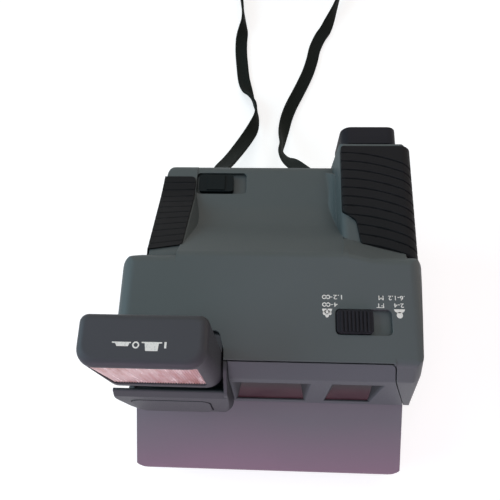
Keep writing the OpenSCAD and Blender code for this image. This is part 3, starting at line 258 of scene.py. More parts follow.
# Noise scales of moulded plastic: drift of tone, grain, and edges made paler partly by wear and partly as
# painted highlight
DRIFT_SCALE = 22
GRAIN_SCALE = 2400
WEAR_AND_HIGHLIGHT_SCALE = 260
# Uneven border of the film door's painted reflection
REFLECTION_DRIFT = 3 * MM
# Painted shade in hollows: how far it reaches and how dark it gets
HOLLOW_SHADE_REACH = 8 * MM
HOLLOW_SHADE_TONE = 0.35
# Shade in a recess: its tone, the depths where it starts and is full, its share, and the clear rim in mm
RECESS_TONE = 0.2
RECESS_DEPTH = (0.1 * MM, 1.0 * MM)
RECESS_COVER = 0.85
RECESS_RIM = 1.5
METAL_EDGE = 0.2 * MM
CLEAR_IOR = 1.49
GLASS_SHADE_Z = (70 * MM, 79 * MM)
# Front panel: y and z in mm at the foot and at the top of its leaning face
PANEL_FACE = ((-51, 57.5), (-45.8, 92))
# Film door: y in mm where its painted reflection starts to turn its tone mauve, and where it is all mauve
DOOR_REFLECTION_Y = (-56, -80)
DOOR_REFLECTION_MAUVE = (0.176, 0.122, 0.156)


def faded(t, tone, drift, color, y_from, y_to):
    """Painted reflection: a tone that turns to a colour along Y, between two places in mm, with an uneven
    border.
    """
    uneven = t.math("ADD", t.axes()["Y"], t.span(drift, 0.3, 0.7, -REFLECTION_DRIFT, REFLECTION_DRIFT))
    return t.mix(t.span(uneven, y_from * MM, y_to * MM), tone, rgb(*color))


def recessed(t, tone, dark, foot, top):
    """Painted shade: a tone that is darker behind a leaning face, given by y and z in mm of its foot and
    its top.
    """
    place = t.axes()
    face = t.span(place["Z"], foot[1] * MM, top[1] * MM, foot[0] * MM, top[0] * MM)
    behind = t.span(t.math("SUBTRACT", place["Y"], face), *RECESS_DEPTH, 0.0, RECESS_COVER)
    below = t.math("LESS_THAN", place["Z"], (top[1] - RECESS_RIM) * MM)
    return t.mix(t.math("MULTIPLY", behind, below), tone, shaded(dark, RECESS_TONE))


def moulded(name, dark, light, rough=0.5, spec=0.18, grain=0.05, edge_mm=0.45, edge_wear_and_highlight=0.35,
            painted_reflection=None, recess=None):
    """Moulded plastic: a fine spark grain, slow drift of tone, painted shade in its hollows, and edges
    made paler, partly as wear and partly as painted highlight.

    Its painted reflection along Y and its painted shade behind a leaning face are each given as the
    arguments, after the tones, of the function above that paints them.
    """
    t = Finish(name)
    slow = t.noise(DRIFT_SCALE, 3)
    fine = t.noise(GRAIN_SCALE, 2, 0.6)
    tone = t.mix(t.span(slow, 0.3, 0.7), rgb(*dark), rgb(*light))
    if painted_reflection:
        tone = faded(t, tone, slow, *painted_reflection)
    if recess:
        tone = recessed(t, tone, dark, *recess)
    # Painted shade: the tone turns darker in the piece's own hollows
    hollow_shade = t.span(t.hollows(HOLLOW_SHADE_REACH), 0.3, 0.8, 0.7, 0.0)
    tone = t.mix(hollow_shade, tone, shaded(dark, HOLLOW_SHADE_TONE))
    rounded, edge = t.edges(edge_mm * MM)
    # Paler edges: partly wear, partly painted highlight
    pale = [min(1.0, c * 1.8 + 0.012) for c in light]
    wear_and_highlight = t.math("MULTIPLY", edge, t.span(t.noise(WEAR_AND_HIGHLIGHT_SCALE, 3), 0.35, 0.65, 0.15, edge_wear_and_highlight))
    t.surface(Base_Color=t.mix(wear_and_highlight, tone, rgb(*pale)))
    speckle = t.math("ADD", fine, t.math("MULTIPLY", slow, 0.5))
    t.surface(Roughness=t.span(speckle, 0.5, 1.0, rough - 0.06, rough + 0.08))
    t.surface(Specular_IOR_Level=spec)
    t.bump(grain, 0.3, fine, Normal=rounded)
    return t.mat


def metal(name, color, rough, streak=900):
    """Metal with fine drawn lines."""
    t = Finish(name)
    lines = t.noise(streak, 3, 0.6, t.stretched((0.08, 1.0, 1.0)))
    t.surface(Metallic=1.0)
    t.surface(Base_Color=t.mix(lines, shaded(color, 0.8), rgb(*color)))
    t.surface(Roughness=t.span(lines, 0.3, 0.7, rough - 0.08, rough + 0.1))
    rounded, _ = t.edges(METAL_EDGE)
    t.bump(0.1, 0.1, lines, Normal=rounded)
    return t.mat


def optic_glass():
    """Clear glass or plastic with faint dust and smears."""
    t = Finish("optic")
    dust = t.noise(700, 4, 0.7)
    smear = t.noise(60, 3)
    t.surface(Base_Color=t.mix(t.span(smear, 0.35, 0.7, 0.0, 0.25), rgb(0.86, 0.92, 0.94), rgb(1, 1, 1)))
    t.surface(Roughness=t.span(t.math("ADD", dust, smear), 0.7, 1.3, 0.06, 0.18))
    t.surface(Transmission_Weight=0.92, Coat_Weight=0.6, Coat_Roughness=0.04, IOR=CLEAR_IOR)
    return t.mat


def window_glass():
    """Dark red clear plastic, with painted shade that darkens it towards the top of its recess."""
    t = Finish("window_glass")
    smear = t.noise(90, 3)
    red = t.mix(t.span(smear, 0.35, 0.65), rgb(0.042, 0.019, 0.024), rgb(0.056, 0.025, 0.030))
    # Painted shade: the glass turns near black towards the top of its recess
    t.surface(Base_Color=t.mix(t.span(t.axes()["Z"], *GLASS_SHADE_Z), red, rgb(0.006, 0.004, 0.008)))
    t.surface(Roughness=t.span(t.math("ADD", t.noise(160, 3), smear), 0.7, 1.3, 0.16, 0.26))
    t.surface(Transmission_Weight=0.08, Specular_IOR_Level=0.08, IOR=CLEAR_IOR)
    return t.mat


def flash_glass():
    """Pearly ribbed plastic, with pale streaks along its ridges as painted highlight and a pink tone as
    painted reflection.
    """
    t = Finish("flash_glass")
    streak = t.noise(420, 4, 0.65, t.stretched((1.0, 0.12, 0.12)))
    # Painted reflection: a pink tone
    pink_reflection = t.mix(t.span(t.noise(70, 2), 0.35, 0.65), rgb(0.52, 0.28, 0.23), rgb(0.74, 0.51, 0.45))
    # Painted highlight: pale streaks along the ridges
    t.surface(Base_Color=t.mix(t.span(streak, 0.40, 0.66), pink_reflection, rgb(0.84, 0.72, 0.66)))
    t.surface(Roughness=t.span(streak, 0.3, 0.7, 0.12, 0.32))
    t.surface(Transmission_Weight=0.15, Coat_Weight=0.2, Coat_Roughness=0.05, IOR=CLEAR_IOR)
    t.bump(0.15, 0.2, streak)
    return t.mat


def ink():
    """Printed marks, cream white and a little worn."""
    t = Finish("ink")
    worn = t.span(t.noise(1800, 3, 0.7), 0.30, 0.48, 0.55, 0.0)
    t.surface(Base_Color=t.mix(worn, rgb(0.72, 0.71, 0.66), rgb(0.30, 0.31, 0.30)))
    t.surface(Roughness=t.span(t.noise(900, 2), 0.3, 0.7, 0.5, 0.7))
    t.surface(Specular_IOR_Level=0.2)
    return t.mat


SLATE = moulded("slate", (0.066, 0.078, 0.080), (0.074, 0.086, 0.088))
# Front panel: painted shade in its window recesses
SLATE_PANEL = moulded("slate_panel", (0.060, 0.070, 0.076), (0.068, 0.078, 0.084), recess=PANEL_FACE)
# Film door: its tone, lighter than the slate and turning mauve towards the front, is painted reflection
SLATE_DOOR_PAINTED_REFLECTION = moulded(
    "slate_door_painted_reflection", (0.108, 0.110, 0.121), (0.118, 0.120, 0.131), rough=0.48, edge_wear_and_highlight=0.9,
    painted_reflection=(DOOR_REFLECTION_MAUVE, *DOOR_REFLECTION_Y))
SLATE_DARK = moulded("slate_dark", (0.046, 0.050, 0.055), (0.052, 0.056, 0.061), rough=0.44, spec=0.1)
SLATE_HEAD = moulded(
    "slate_head", (0.044, 0.046, 0.052), (0.050, 0.052, 0.058), rough=0.42, spec=0.12, edge_mm=0.6,
    edge_wear_and_highlight=0.2)
BLACK = moulded(
    "black_plastic", (0.011, 0.011, 0.014), (0.016, 0.016, 0.020), rough=0.45, spec=0.06, edge_wear_and_highlight=0.6)
GLOSS = moulded(
    "gloss_black", (0.005, 0.008, 0.009), (0.007, 0.011, 0.012), rough=0.25, spec=0.05, grain=0.02)
# Rubber: its paler rib edges are partly wear and partly painted highlight
RUBBER = moulded(
    "rubber", (0.010, 0.010, 0.011), (0.014, 0.014, 0.015), rough=0.62, spec=0.06, grain=0.12,
    edge_wear_and_highlight=0.9)
GEAR = moulded("gear_plastic", (0.55, 0.52, 0.44), (0.62, 0.60, 0.50), rough=0.45)
BOARD = moulded("board", (0.02, 0.09, 0.035), (0.03, 0.12, 0.05), rough=0.35)
SLEEVE = moulded("capacitor_sleeve", (0.010, 0.016, 0.030), (0.014, 0.022, 0.040), rough=0.25)
DIAL = moulded("dial", (0.62, 0.60, 0.53), (0.70, 0.68, 0.60), rough=0.5)
STEEL = metal("steel", (0.56, 0.57, 0.59), 0.32)
PLATED = metal("plated", (0.78, 0.60, 0.30), 0.28)
BRIGHT = metal("bright", (0.86, 0.87, 0.88), 0.12)
MIRROR = metal("mirror", (0.92, 0.93, 0.94), 0.08, 200)
OPTIC = optic_glass()
RED_GLASS = window_glass()
PEARL = flash_glass()
INK = ink()

# CAD nodes that show as they are. Pieces further down stand for the others and have their own material.
NODE_MATERIALS = {
    SLATE: "base_shell top_shell",
    SLATE_PANEL: "front_panel",
    SLATE_DOOR_PAINTED_REFLECTION: "film_door",
    SLATE_DARK: "flash_pod shutter_button flash_carriage strap_lugs",
    BLACK: "finder_tube eyepiece_cup film_chamber mirror_box lens_barrel shutter_housing shutter_blade_a "
           "shutter_blade_b closeup_slider closeup_lens_arm light_sensor door_latch",
    GLOSS: "flash_release",
    RED_GLASS: "lens_window finder_window",
    OPTIC: "eyepiece_lens taking_lens closeup_lens flash_tube counter_window",
    MIRROR: "mirror",
    BRIGHT: "flash_reflector",
    STEEL: "drive_motor gear_plate door_hinge_pins roller_frame upper_roller lower_roller pick_arm screws",
    PLATED: "battery_contacts",
    GEAR: "motor_pinion drive_gear idler_gear upper_roller_gear lower_roller_gear",
    BOARD: "circuit_board",
    SLEEVE: "flash_capacitor",
    DIAL: "counter_dial",
}

for material, names in NODE_MATERIALS.items():
    for name in names.split():
        nodes[name].data.materials.clear()
        nodes[name].data.materials.append(material)
        soften(nodes[name])


# Neck strap: one flat band from lug to lug, its spare length wound up behind

STRAP_W = 8.0
# Half of the band's outline, from its side to its middle: distance from the middle line and half thickness
BAND_SIDE = [(STRAP_W / 2, 0.3), (3.75, 0.62), (3.3, 0.78), (2.9, 0.66)]
WEFT_PITCH = 1.1 * MM
WARP_PITCH = 0.9 * MM
ON_EDGE = 90
REST_Z = 5.0
COIL_CENTRE = (12.0, 283.0)
COIL_R = 34.0
COIL_LAYER = 9.0
COIL_STEP = 3.8
COIL_TURNS = 2.5
CLIMB_TURNS = 0.5
COIL_RINGS = 24
COIL_STEPS = 3
ROUTE_STEPS = 6
# Route points: x, y, z in mm and the angle that the band is turned on edge
LEFT_ROUTE = [
    (-24, 54.5, 58, 0), (-25, 60, 53, 0), (-26, 68.8, 42, 0), (-23.6, 80.9, 30.5, 0),
    (-20.1, 95.3, 19, 5), (-15.4, 110.5, 10, 18), (-11.8, 121.1, 6.2, 45), (-10, 130.1, 4.6, 75),
    (-10.8, 138, 4.3, 88), (-13.2, 143.8, 4.2, 75), (-16.6, 151.5, 2.8, 27), (-19.3, 161.9, 1.3, 0),
    (-20.8, 173.5, 1.2, 0), (-21.9, 185.2, 1.3, 0), (-21.9, 194.5, 2.4, 17), (-20.9, 201.6, 3.7, 45),
    (-20.6, 208.6, 4.5, 75), (-22, 222, 5, 90), (-24.6, 242, 5, 90), (-26.1, 264, 5, 90),
]
RIGHT_ROUTE = [
    (18, 54.5, 58, 0), (17.4, 59.5, 52, 0), (14.2, 69.1, 42, 0), (9.7, 79.2, 33, 10),
    (6.7, 89.3, 24, 50), (5.6, 98.5, 17, 82), (6.1, 109.5, 10.5, 60), (7.4, 120.7, 5.6, 36),
    (9.2, 130.7, 3.4, 26), (12, 139.7, 2.7, 20), (15.9, 148.8, 2.5, 18), (19.8, 158, 2.4, 18),
    (23.3, 167.2, 2.4, 18), (26, 177.1, 2.4, 18), (27.9, 186.2, 2.4, 18), (31.5, 195.6, 2.5, 20),
    (36, 203.5, 3.1, 32), (42.6, 221, 5, 80), (47.6, 242, 8, 90), (50.1, 264, 12.6, 90),
]


def smooth(points, steps):
    """Points along a smooth curve through the points given."""
    pts = [Vector(p) for p in points]
    last = len(pts) - 1
    out = []
    for i in range(last):
        a, b, c, d = pts[max(i - 1, 0)], pts[i], pts[i + 1], pts[min(i + 2, last)]
        for k in range(steps):
            t = k / steps
            bend = (2 * a - 5 * b + 4 * c - d) + t * (3 * b - a - 3 * c + d)
            out.append(b + t / 2 * ((c - a) + t * bend))
    out.append(pts[last])
    return out


def coil_point(i):
    """A point of the loops, which climb over each other half way along."""
    u = i / COIL_RINGS
    a = math.radians(180 - 360 * u)
    r = COIL_R + COIL_STEP * abs(u - COIL_TURNS / 2)
    t = max(0.0, min(1.0, (u - COIL_TURNS / 2) / CLIMB_TURNS + 0.5))
    climb = t * t * (3 - 2 * t)
    x, y = COIL_CENTRE
    return (x + r * math.cos(a), y + r * math.sin(a), REST_Z + COIL_LAYER * climb, ON_EDGE)


def strap_path():
    """The whole middle line of the band, from the left lug round the loops to the right lug."""
    coil = [coil_point(i) for i in range(int(COIL_RINGS * COIL_TURNS) + 1)]
    left = smooth(LEFT_ROUTE + [coil[0]], ROUTE_STEPS)
    right = smooth(RIGHT_ROUTE + [coil[-1]], ROUTE_STEPS)
    right.reverse()
    # On the way back the band is turned the other way over
    right = [Vector((p[0], p[1], p[2], 180 - p[3])) for p in right]
    return left + smooth(coil, COIL_STEPS)[1:-1] + right


def band_section():
    """Outline across the band, with a bead along each side."""
    middle = BAND_SIDE[-1][1]
    back = BAND_SIDE[::-1]
    low = [(-x, -h) for x, h in BAND_SIDE] + [(0.0, -middle)] + [(x, -h) for x, h in back]
    high = BAND_SIDE + [(0.0, middle)] + [(-x, h) for x, h in back]
    return high[-1:] + low + high[:-1]


def band_mesh(path, section, name):
    """A band swept along points of x, y, z and edge angle, with UVs of width and length in metres."""
    xyz = [Vector(p[:3]) * MM for p in path]
    last = len(path) - 1
    run = [0.0]
    for a, b in zip(xyz, xyz[1:]):
        run.append(run[-1] + (b - a).length)
    bm = bmesh.new()
    uv = bm.loops.layers.uv.new("band")
    rings = []
    for i, centre in enumerate(xyz):
        tangent = (xyz[min(i + 1, last)] - xyz[max(i - 1, 0)]).normalized()
        level = Vector((0, 0, 1)).cross(tangent).normalized()
        up = tangent.cross(level)
        a = math.radians(path[i][3])
        wide = level * math.cos(a) + up * math.sin(a)
        thick = tangent.cross(wide)
        rings.append([bm.verts.new(centre + wide * s[0] * MM + thick * s[1] * MM) for s in section])
    count = len(section)
    for n, face in enumerate(skin(bm, rings)):
        face.smooth = True
        i, k = divmod(n, count)
        corners = ((i, k), (i, k + 1), (i + 1, k + 1), (i + 1, k))
        for loop, (ring, side) in zip(face.loops, corners):
            loop[uv].uv = (section[side % count][0] * MM, run[ring])
    return to_mesh(bm, name), run[-1]


def webbing():
    """Woven band: fine cross ribs and warp lines along it."""
    t = Finish("webbing")
    place = t.axes(t.add("ShaderNodeUVMap", uv_map="band").outputs["UV"])
    weft = t.math("SINE", t.math("MULTIPLY", place["Y"], 2 * math.pi / WEFT_PITCH))
    warp = t.math("SINE", t.math("MULTIPLY", place["X"], 2 * math.pi / WARP_PITCH))
    weave = t.math("MULTIPLY", t.math("ADD", weft, 1.3), t.math("ADD", warp, 1.6))
    height = t.span(weave, 0.0, 5.0)
    fuzz = t.noise(3000, 2, 0.7)
    tone = t.mix(t.math("MULTIPLY", height, fuzz), rgb(0.006, 0.008, 0.007), rgb(0.020, 0.024, 0.021))
    t.surface(Base_Color=tone, Roughness=0.8, Specular_IOR_Level=0.05)
    t.surface(Sheen_Weight=0.02, Sheen_Roughness=0.5)
    t.bump(0.5, 0.2, height)
    return t.mat


path = strap_path()
band, strap_length = band_mesh(path, band_section(), "neck_strap")
strap = new_piece("neck_strap", band, webbing(), "body")
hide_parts("strap_left_run", "strap_right_run", "strap_coil")


# Ribbed rubber grips

GROOVE_W = 0.9
# Cuts across each groove, as shares of its width: its two rims and the two sides of its floor
GROOVE_CUTS = (-0.5, -0.2, 0.2, 0.5)
# A point this near to the middle of a groove, as a share of its width, is on its floor
GROOVE_FLOOR = 0.21
FLAT_ANGLE = math.radians(0.5)
# Cuts along a bent grip, so that it can follow the bend
SLICES = 12
SLICE_START = 2
SLICE_PITCH = 2.7
# How directly a face has to look away from the grip's middle line to take grooves
FACING = 0.6


def cut(bm, point, across):
    """New edges where a plane goes through a mesh."""
    everything = bm.verts[:] + bm.edges[:] + bm.faces[:]
    bmesh.ops.bisect_plane(bm, geom=everything, dist=ON_PLANE, plane_co=point, plane_no=across)


def bow(bm, x, bend):
    """Moves a mesh along Y with the square of the distance from x in mm."""
    for vert in bm.verts:
        vert.co.y += bend / MM * (vert.co.x - x * MM) ** 2


def sink(bm, floor, axis, depth):
    """Moves the points in floor that lie on the outer side of a grip inwards by the depth in mm.

    The axis is the x and z in mm of the grip's middle line.
    """
    bm.normal_update()
    outward = {}
    for face in bm.faces:
        centre = face.calc_center_median()
        away = Vector((centre.x - axis[0] * MM, 0, centre.z - axis[1] * MM)).normalized()
        if face.normal.dot(away) > FACING:
            for vert in floor.intersection(face.verts):
                outward.setdefault(vert, []).append(face.normal * face.calc_area())
    for vert, normals in outward.items():
        vert.co -= sum(normals, Vector()).normalized() * (depth * MM)


def ribbed_grip(node, first, pitch, count, turn, bend, axis, depth):
    """A grip with grooves across its outer side.

    The first groove goes through x and y in mm, and the next ones follow forwards at the pitch, each with
    a turn of some more degrees. The bend draws them forward with the square of the distance from x. The
    axis and the depth are what sink() takes.
    """
    x, y = first
    bm = bmesh.new()
    bm.from_mesh(nodes[node].data)
    bmesh.ops.remove_doubles(bm, verts=bm.verts, dist=WELD)
    bmesh.ops.dissolve_limit(bm, angle_limit=FLAT_ANGLE, verts=bm.verts, edges=bm.edges)
    if bend:
        for k in range(SLICES):
            cut(bm, Vector((x + SLICE_START + SLICE_PITCH * k, 0, 0)) * MM, Vector((1, 0, 0)))
    bow(bm, x, bend)
    grooves = []
    for i in range(count):
        a = math.radians(turn * (i + 1))
        across = Vector((-math.sin(a), math.cos(a), 0))
        point = Vector((x, y - pitch * i, 0)) * MM
        grooves.append((point, across))
        for share in GROOVE_CUTS:
            cut(bm, point + across * (share * GROOVE_W * MM), across)
    near = GROOVE_FLOOR * GROOVE_W * MM
    floor = {v for v in bm.verts if min(abs((v.co - p).dot(n)) for p, n in grooves) < near}
    bow(bm, x, -bend)
    sink(bm, floor, axis, depth)
    bmesh.ops.triangulate(bm, faces=bm.faces)
    grip = new_piece(node + "_ribbed", to_mesh(bm, node + "_ribbed"), RUBBER, "body")
    soften(grip)
    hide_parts(node)


ribbed_grip("right_grip", (28, 45.7), pitch=3.95, count=13, turn=0, bend=0.0088, axis=(38, 50), depth=0.5)
ribbed_grip("left_grip", (-42, 39.8), pitch=3.65, count=11, turn=1, bend=0, axis=(-40, 50), depth=0.4)


# Flash cover with rounded edges, and the flange at its foot

head_low, head_high = box_mm("flash_cover")
FLASH_X = (head_low.x + head_high.x) / 2
# Measures at the foot and at the top of the head
COVER_Z = (93, head_high.z)
COVER_HALF = ((head_high.x - head_low.x) / 2, 18.8)
COVER_FRONT = (head_low.y, -46.9)
COVER_BACK = (-37.6, -31.2)
# Corner radii in front and behind
COVER_CORNER = (5.6, 2.6)
COVER_CORNER_MIN = 1.2
COVER_CORNER_STEPS = 8
COVER_ROUND = 2.5
COVER_ROUND_STEPS = 7
COVER_WALL = 1.6
COVER_WALL_STEPS = 4
CUT_OVERLAP = 1
OPENING_HALF = (15.8, 13.0)
OPENING_Z = 109.5
OPENING_Y = (-60, -42.9)
OPENING_CORNER = 2.0
OPENING_CORNER_STEPS = 6
# Lowest and highest corner of the flange
SKIRT = ((-53.0, -38.0, 93.2), (-15.7, -32.0, 99.3))
SKIRT_CORNER = 1.6
SKIRT_CORNER_STEPS = 4


def head_at(pair, z):
    """A measure of the head that runs evenly from its foot to its top, at height z."""
    rise = (z - COVER_Z[0]) / (COVER_Z[1] - COVER_Z[0])
    return pair[0] + (pair[1] - pair[0]) * rise


def cover_ring(z, inset):
    """Plan of the flash head at height z, drawn in by the inset, with rounded corners."""
    half = head_at(COVER_HALF, z) - inset
    front = head_at(COVER_FRONT, z) + inset
    back = head_at(COVER_BACK, z) - inset
    front_r, back_r = [max(r - inset / 2, COVER_CORNER_MIN) for r in COVER_CORNER]
    corners = (
        (half - front_r, front + front_r, front_r, 270),
        (half - back_r, back - back_r, back_r, 0),
        (back_r - half, back - back_r, back_r, 90),
        (front_r - half, front + front_r, front_r, 180),
    )
    points = []
    for x, y, r, start in corners:
        points += arc((FLASH_X + x, y), (r, r), start, start + 90, COVER_CORNER_STEPS)
    return [(x, y, z) for x, y in points]


def head_solid(name, wall, foot_z):
    """The flash head as a closed solid, its walls drawn in by the wall and its top edge rounded over."""
    round_r = COVER_ROUND - wall
    shoulder = COVER_Z[1] - COVER_ROUND
    plans = []
    for k in range(COVER_WALL_STEPS + 1):
        plans.append(cover_ring(foot_z + (shoulder - foot_z) * k / COVER_WALL_STEPS, wall))
    for k in range(1, COVER_ROUND_STEPS + 1):
        a = math.radians(90 * k / COVER_ROUND_STEPS)
        plans.append(cover_ring(shoulder + round_r * math.sin(a), wall + round_r * (1 - math.cos(a))))
    bm = bmesh.new()
    skin(bm, [add_ring(bm, plan) for plan in plans])
    bmesh.ops.recalc_face_normals(bm, faces=bm.faces)
    return add_object(name, to_mesh(bm, name))


def lens_cutter():
    """A bar with rounded corners, as wide and high as the lens opening in the front of the cover."""
    across, up = [half - OPENING_CORNER for half in OPENING_HALF]
    outline = []
    for sx, sz, start in ((1, 1, 0), (-1, 1, 90), (-1, -1, 180), (1, -1, 270)):
        centre = (FLASH_X + sx * across, OPENING_Z + sz * up)
        outline += arc(centre, (OPENING_CORNER, OPENING_CORNER), start, start + 90, OPENING_CORNER_STEPS)
    bm = bmesh.new()
    skin(bm, [add_ring(bm, [(x, y, z) for x, z in outline]) for y in OPENING_Y])
    bmesh.ops.recalc_face_normals(bm, faces=bm.faces)
    return add_object("lens_cutter", to_mesh(bm, "lens_cutter"))


def rounded_cover():
    """The flash cover as a shell with rounded edges and the lens opening."""
    shell = head_solid("shell", 0, COVER_Z[0])
    cutters = [head_solid("inside", COVER_WALL, COVER_Z[0] - CUT_OVERLAP), lens_cutter()]
    for cutter in cutters:
        taken = shell.modifiers.new(cutter.name, "BOOLEAN")
        taken.operation = "DIFFERENCE"
        taken.solver = "EXACT"
        taken.object = cutter
    mesh = evaluated_mesh(shell)
    mesh.name = "flash_cover_rounded"
    for obj in [shell] + cutters:
        bpy.data.objects.remove(obj)
    return mesh


def skirt_mesh():
    """Flange at the foot of the flash head that closes the deck opening behind it."""
    low, high = [Vector(corner) * MM for corner in SKIRT]
    middle = (low + high) / 2
    bm = bmesh.new()
    bmesh.ops.create_cube(bm, size=1)
    for vert in bm.verts:
        vert.co = [middle[k] + vert.co[k] * (high[k] - low[k]) for k in range(3)]
    corner = [e for e in bm.edges if all(v.co.x > middle.x and v.co.y > middle.y for v in e.verts)]
    bmesh.ops.bevel(
        bm, geom=corner, offset=SKIRT_CORNER * MM, offset_type="OFFSET", segments=SKIRT_CORNER_STEPS,
        profile=0.5, affect="EDGES")
    return to_mesh(bm, "flash_skirt")


cover = new_piece("flash_cover_rounded", rounded_cover(), SLATE_HEAD, "flash_head")
soften(cover)
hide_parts("flash_cover")

skirt = new_piece("flash_skirt", skirt_mesh(), SLATE_HEAD, "flash_head")
soften(skirt)


# Ridged flash lens

lens_low, lens_high = box_mm("flash_lens")
LENS_HALF = (lens_high.x - lens_low.x) / 2
LENS_Z = (lens_low.z, lens_high.z)
LENS_CORNER = 1.9
LENS_T = 1.4
LENS_SET_BACK = 0.5
RIDGES = 36
RIDGE_DEPTH = 0.32


def lens_face_y(z):
    """The lens leans with the front of the cover, a little behind it."""
    return head_at(COVER_FRONT, z) + LENS_SET_BACK


def ridged_lens():
    """A plate with upright ridges in front and rounded corners."""
    bm = bmesh.new()
    rings = []
    last = 2 * RIDGES
    for i in range(last + 1):
        x = FLASH_X - LENS_HALF + 2 * LENS_HALF * i / last
        near = max(0.0, LENS_CORNER - (LENS_HALF - abs(x - FLASH_X)))
        drawn = LENS_CORNER - math.sqrt(max(0.0, LENS_CORNER ** 2 - near ** 2))
        low, high = LENS_Z[0] + drawn, LENS_Z[1] - drawn
        sunk = RIDGE_DEPTH if i % 2 == 0 else 0.0
        corners = ((low, sunk), (high, sunk), (high, LENS_T), (low, LENS_T))
        rings.append(add_ring(bm, [(x, lens_face_y(z) + deep, z) for z, deep in corners]))
    skin(bm, rings)
    bmesh.ops.recalc_face_normals(bm, faces=bm.faces)
    return to_mesh(bm, "flash_lens_ridged")


lens = new_piece("flash_lens_ridged", ridged_lens(), PEARL, "flash_head")
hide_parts("flash_lens")


# Flash spring, as a piece with a mesh of its own. The head presses the real spring together when it sinks.

spring = new_piece("flash_spring_coil", nodes["flash_spring"].data.copy(), STEEL, "body")
soften(spring)
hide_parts("flash_spring")
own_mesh(spring)


# Printed marks, read from behind the camera

INK_RISE = 0.04
INK_SINK = 0.05
ROUND_STEPS = 20
RING_STEPS = 28
# Letters one unit high, before they are fitted into their place
LETTER_WEIGHT = 0.008
LETTER_DEPTH = 0.01
LETTER_STEPS = 4
DECK_Z = box_mm("top_shell")[1].z
# Words on the deck: start and end in x, foot and top in y
DECK_WORDS = (
    ("1.2", (24.5, 21.5), (-17.5, -19.1)),
    ("-", (21.2, 20.5), (-18.15, -18.4)),
    ("4", (22.95, 21.65), (-20.25, -21.72)),
    ("-", (21.35, 20.65), (-20.85, -21.1)),
    ("M", (38.47, 36.8), (-17.55, -19.1)),
    ("FT", (38.5, 36.0), (-20.3, -21.85)),
    (".6-1.2", (45.6, 40.1), (-17.5, -19.1)),
    ("2-4", (45.15, 41.8), (-20.2, -21.65)),
)
# Signs for no limit: two small rings side by side, in two rows
ENDLESS_X = (18.45, 19.75)
ENDLESS_Y = (-18.3, -21.0)
ENDLESS_RADII = (0.76, 0.44)
# Persons: foot, radii of the shoulders, radii of the head and its height above the foot
NEAR_PERSON = ((43.58, -22.24), (1.82, 1.35), (1.02, 1.1), 2.06)
FAR_SHOULDERS = (0.74, 1.3)
FAR_HEAD = (0.56, 0.62)
FAR_HEAD_UP = 1.62
# The group of three: x and y of the foot, and size
FAR_GROUP = ((18.42, -22.45, 1.0), (20.25, -22.45, 1.0), (19.3, -23.0, 1.12))
# Flash signs: centre and radii of a ring, and outlines
FLASH_OFF_RING = ((-37.35, -40.8), 1.0, 0.58)
FLASH_OFF_SIGN = (
    (-44.13, -39.97), (-44.13, -40.3), (-43.2, -40.34), (-42.8, -41.2),
    (-39.5, -41.2), (-39.2, -40.34), (-38.75, -40.3), (-38.75, -39.97),
)
FLASH_ON_SIGN = (
    (-35.72, -39.88), (-35.72, -40.22), (-34.85, -40.28), (-34.55, -42.42),
    (-31.1, -42.42), (-30.85, -40.28), (-29.95, -40.22), (-29.95, -39.88),
)
FLASH_ON_BAR = ((-29.3, -39.8), (-29.3, -41.6), (-28.7, -41.6), (-28.7, -39.8))
# Numbers on the dial: middle of its face, how many, and where each starts from the middle
DIAL_CENTRE = Vector((2, 45.6, 62))
DIAL_NUMBERS = 10
NUMBER_FOOT = 4.0
NUMBER_SIZE = 2.6


def ink_shape(bm, points, z):
    """A flat mark with the outline given in mm, standing a little proud of the surface at z."""
    face = bm.faces.new(add_ring(bm, [(x, y, z - INK_SINK) for x, y in points]))
    made = bmesh.ops.extrude_face_region(bm, geom=[face])["geom"]
    for vert in (g for g in made if isinstance(g, bmesh.types.BMVert)):
        vert.co.z = (z + INK_RISE) * MM


def ink_ring(bm, centre, outer, inner, z):
    """A flat ring, as far proud of the surface as the other marks."""
    rings = []
    for r, h in ((outer, INK_RISE), (inner, INK_RISE), (inner, -INK_SINK), (outer, -INK_SINK)):
        rings.append(add_ring(bm, [(x, y, z + h) for x, y in arc(centre, (r, r), 0, 360, RING_STEPS)]))
    skin(bm, rings + rings[:1], capped=False)


def ink_person(bm, foot, shoulders, head, head_up, z):
    """A sign of head and shoulders."""
    ink_shape(bm, arc((foot[0], foot[1] - head_up), head, 0, 360, ROUND_STEPS), z)
    ink_shape(bm, arc(foot, shoulders, 180, 360, ROUND_STEPS), z)


def text_mesh(words):
    """The words as a flat solid mesh, from the built-in font."""
    curve = bpy.data.curves.new("words", "FONT")
    curve.body = words
    curve.size = 1
    curve.offset = LETTER_WEIGHT
    curve.extrude = LETTER_DEPTH
    curve.resolution_u = LETTER_STEPS
    holder = add_object("words", curve)
    mesh = evaluated_mesh(holder)
    bpy.data.objects.remove(holder)
    bpy.data.curves.remove(curve)
    return mesh


def add_text(bm, words, place):
    """Words in a mesh. The place of each point in mm comes from its x and y in the font and its lift."""
    mesh = text_mesh(words)
    xs = [v.co.x for v in mesh.vertices]
    ys = [v.co.y for v in mesh.vertices]
    box = (min(xs), max(xs), min(ys), max(ys))
    for v in mesh.vertices:
        lift = INK_RISE if v.co.z > 0 else -INK_SINK
        v.co = Vector(place(v.co.x, v.co.y, lift, box)) * MM
    bm.from_mesh(mesh)
    bpy.data.meshes.remove(mesh)


def ink_text(bm, words, x, y, z):
    """Words that start at x[0] and run to x[1], with their foot at y[0] and their top at y[1]."""

    def place(font_x, font_y, lift, box):
        u = (font_x - box[0]) / (box[1] - box[0])
        w = (font_y - box[2]) / (box[3] - box[2])
        return (x[0] + (x[1] - x[0]) * u, y[0] + (y[1] - y[0]) * w, z + lift)

    add_text(bm, words, place)


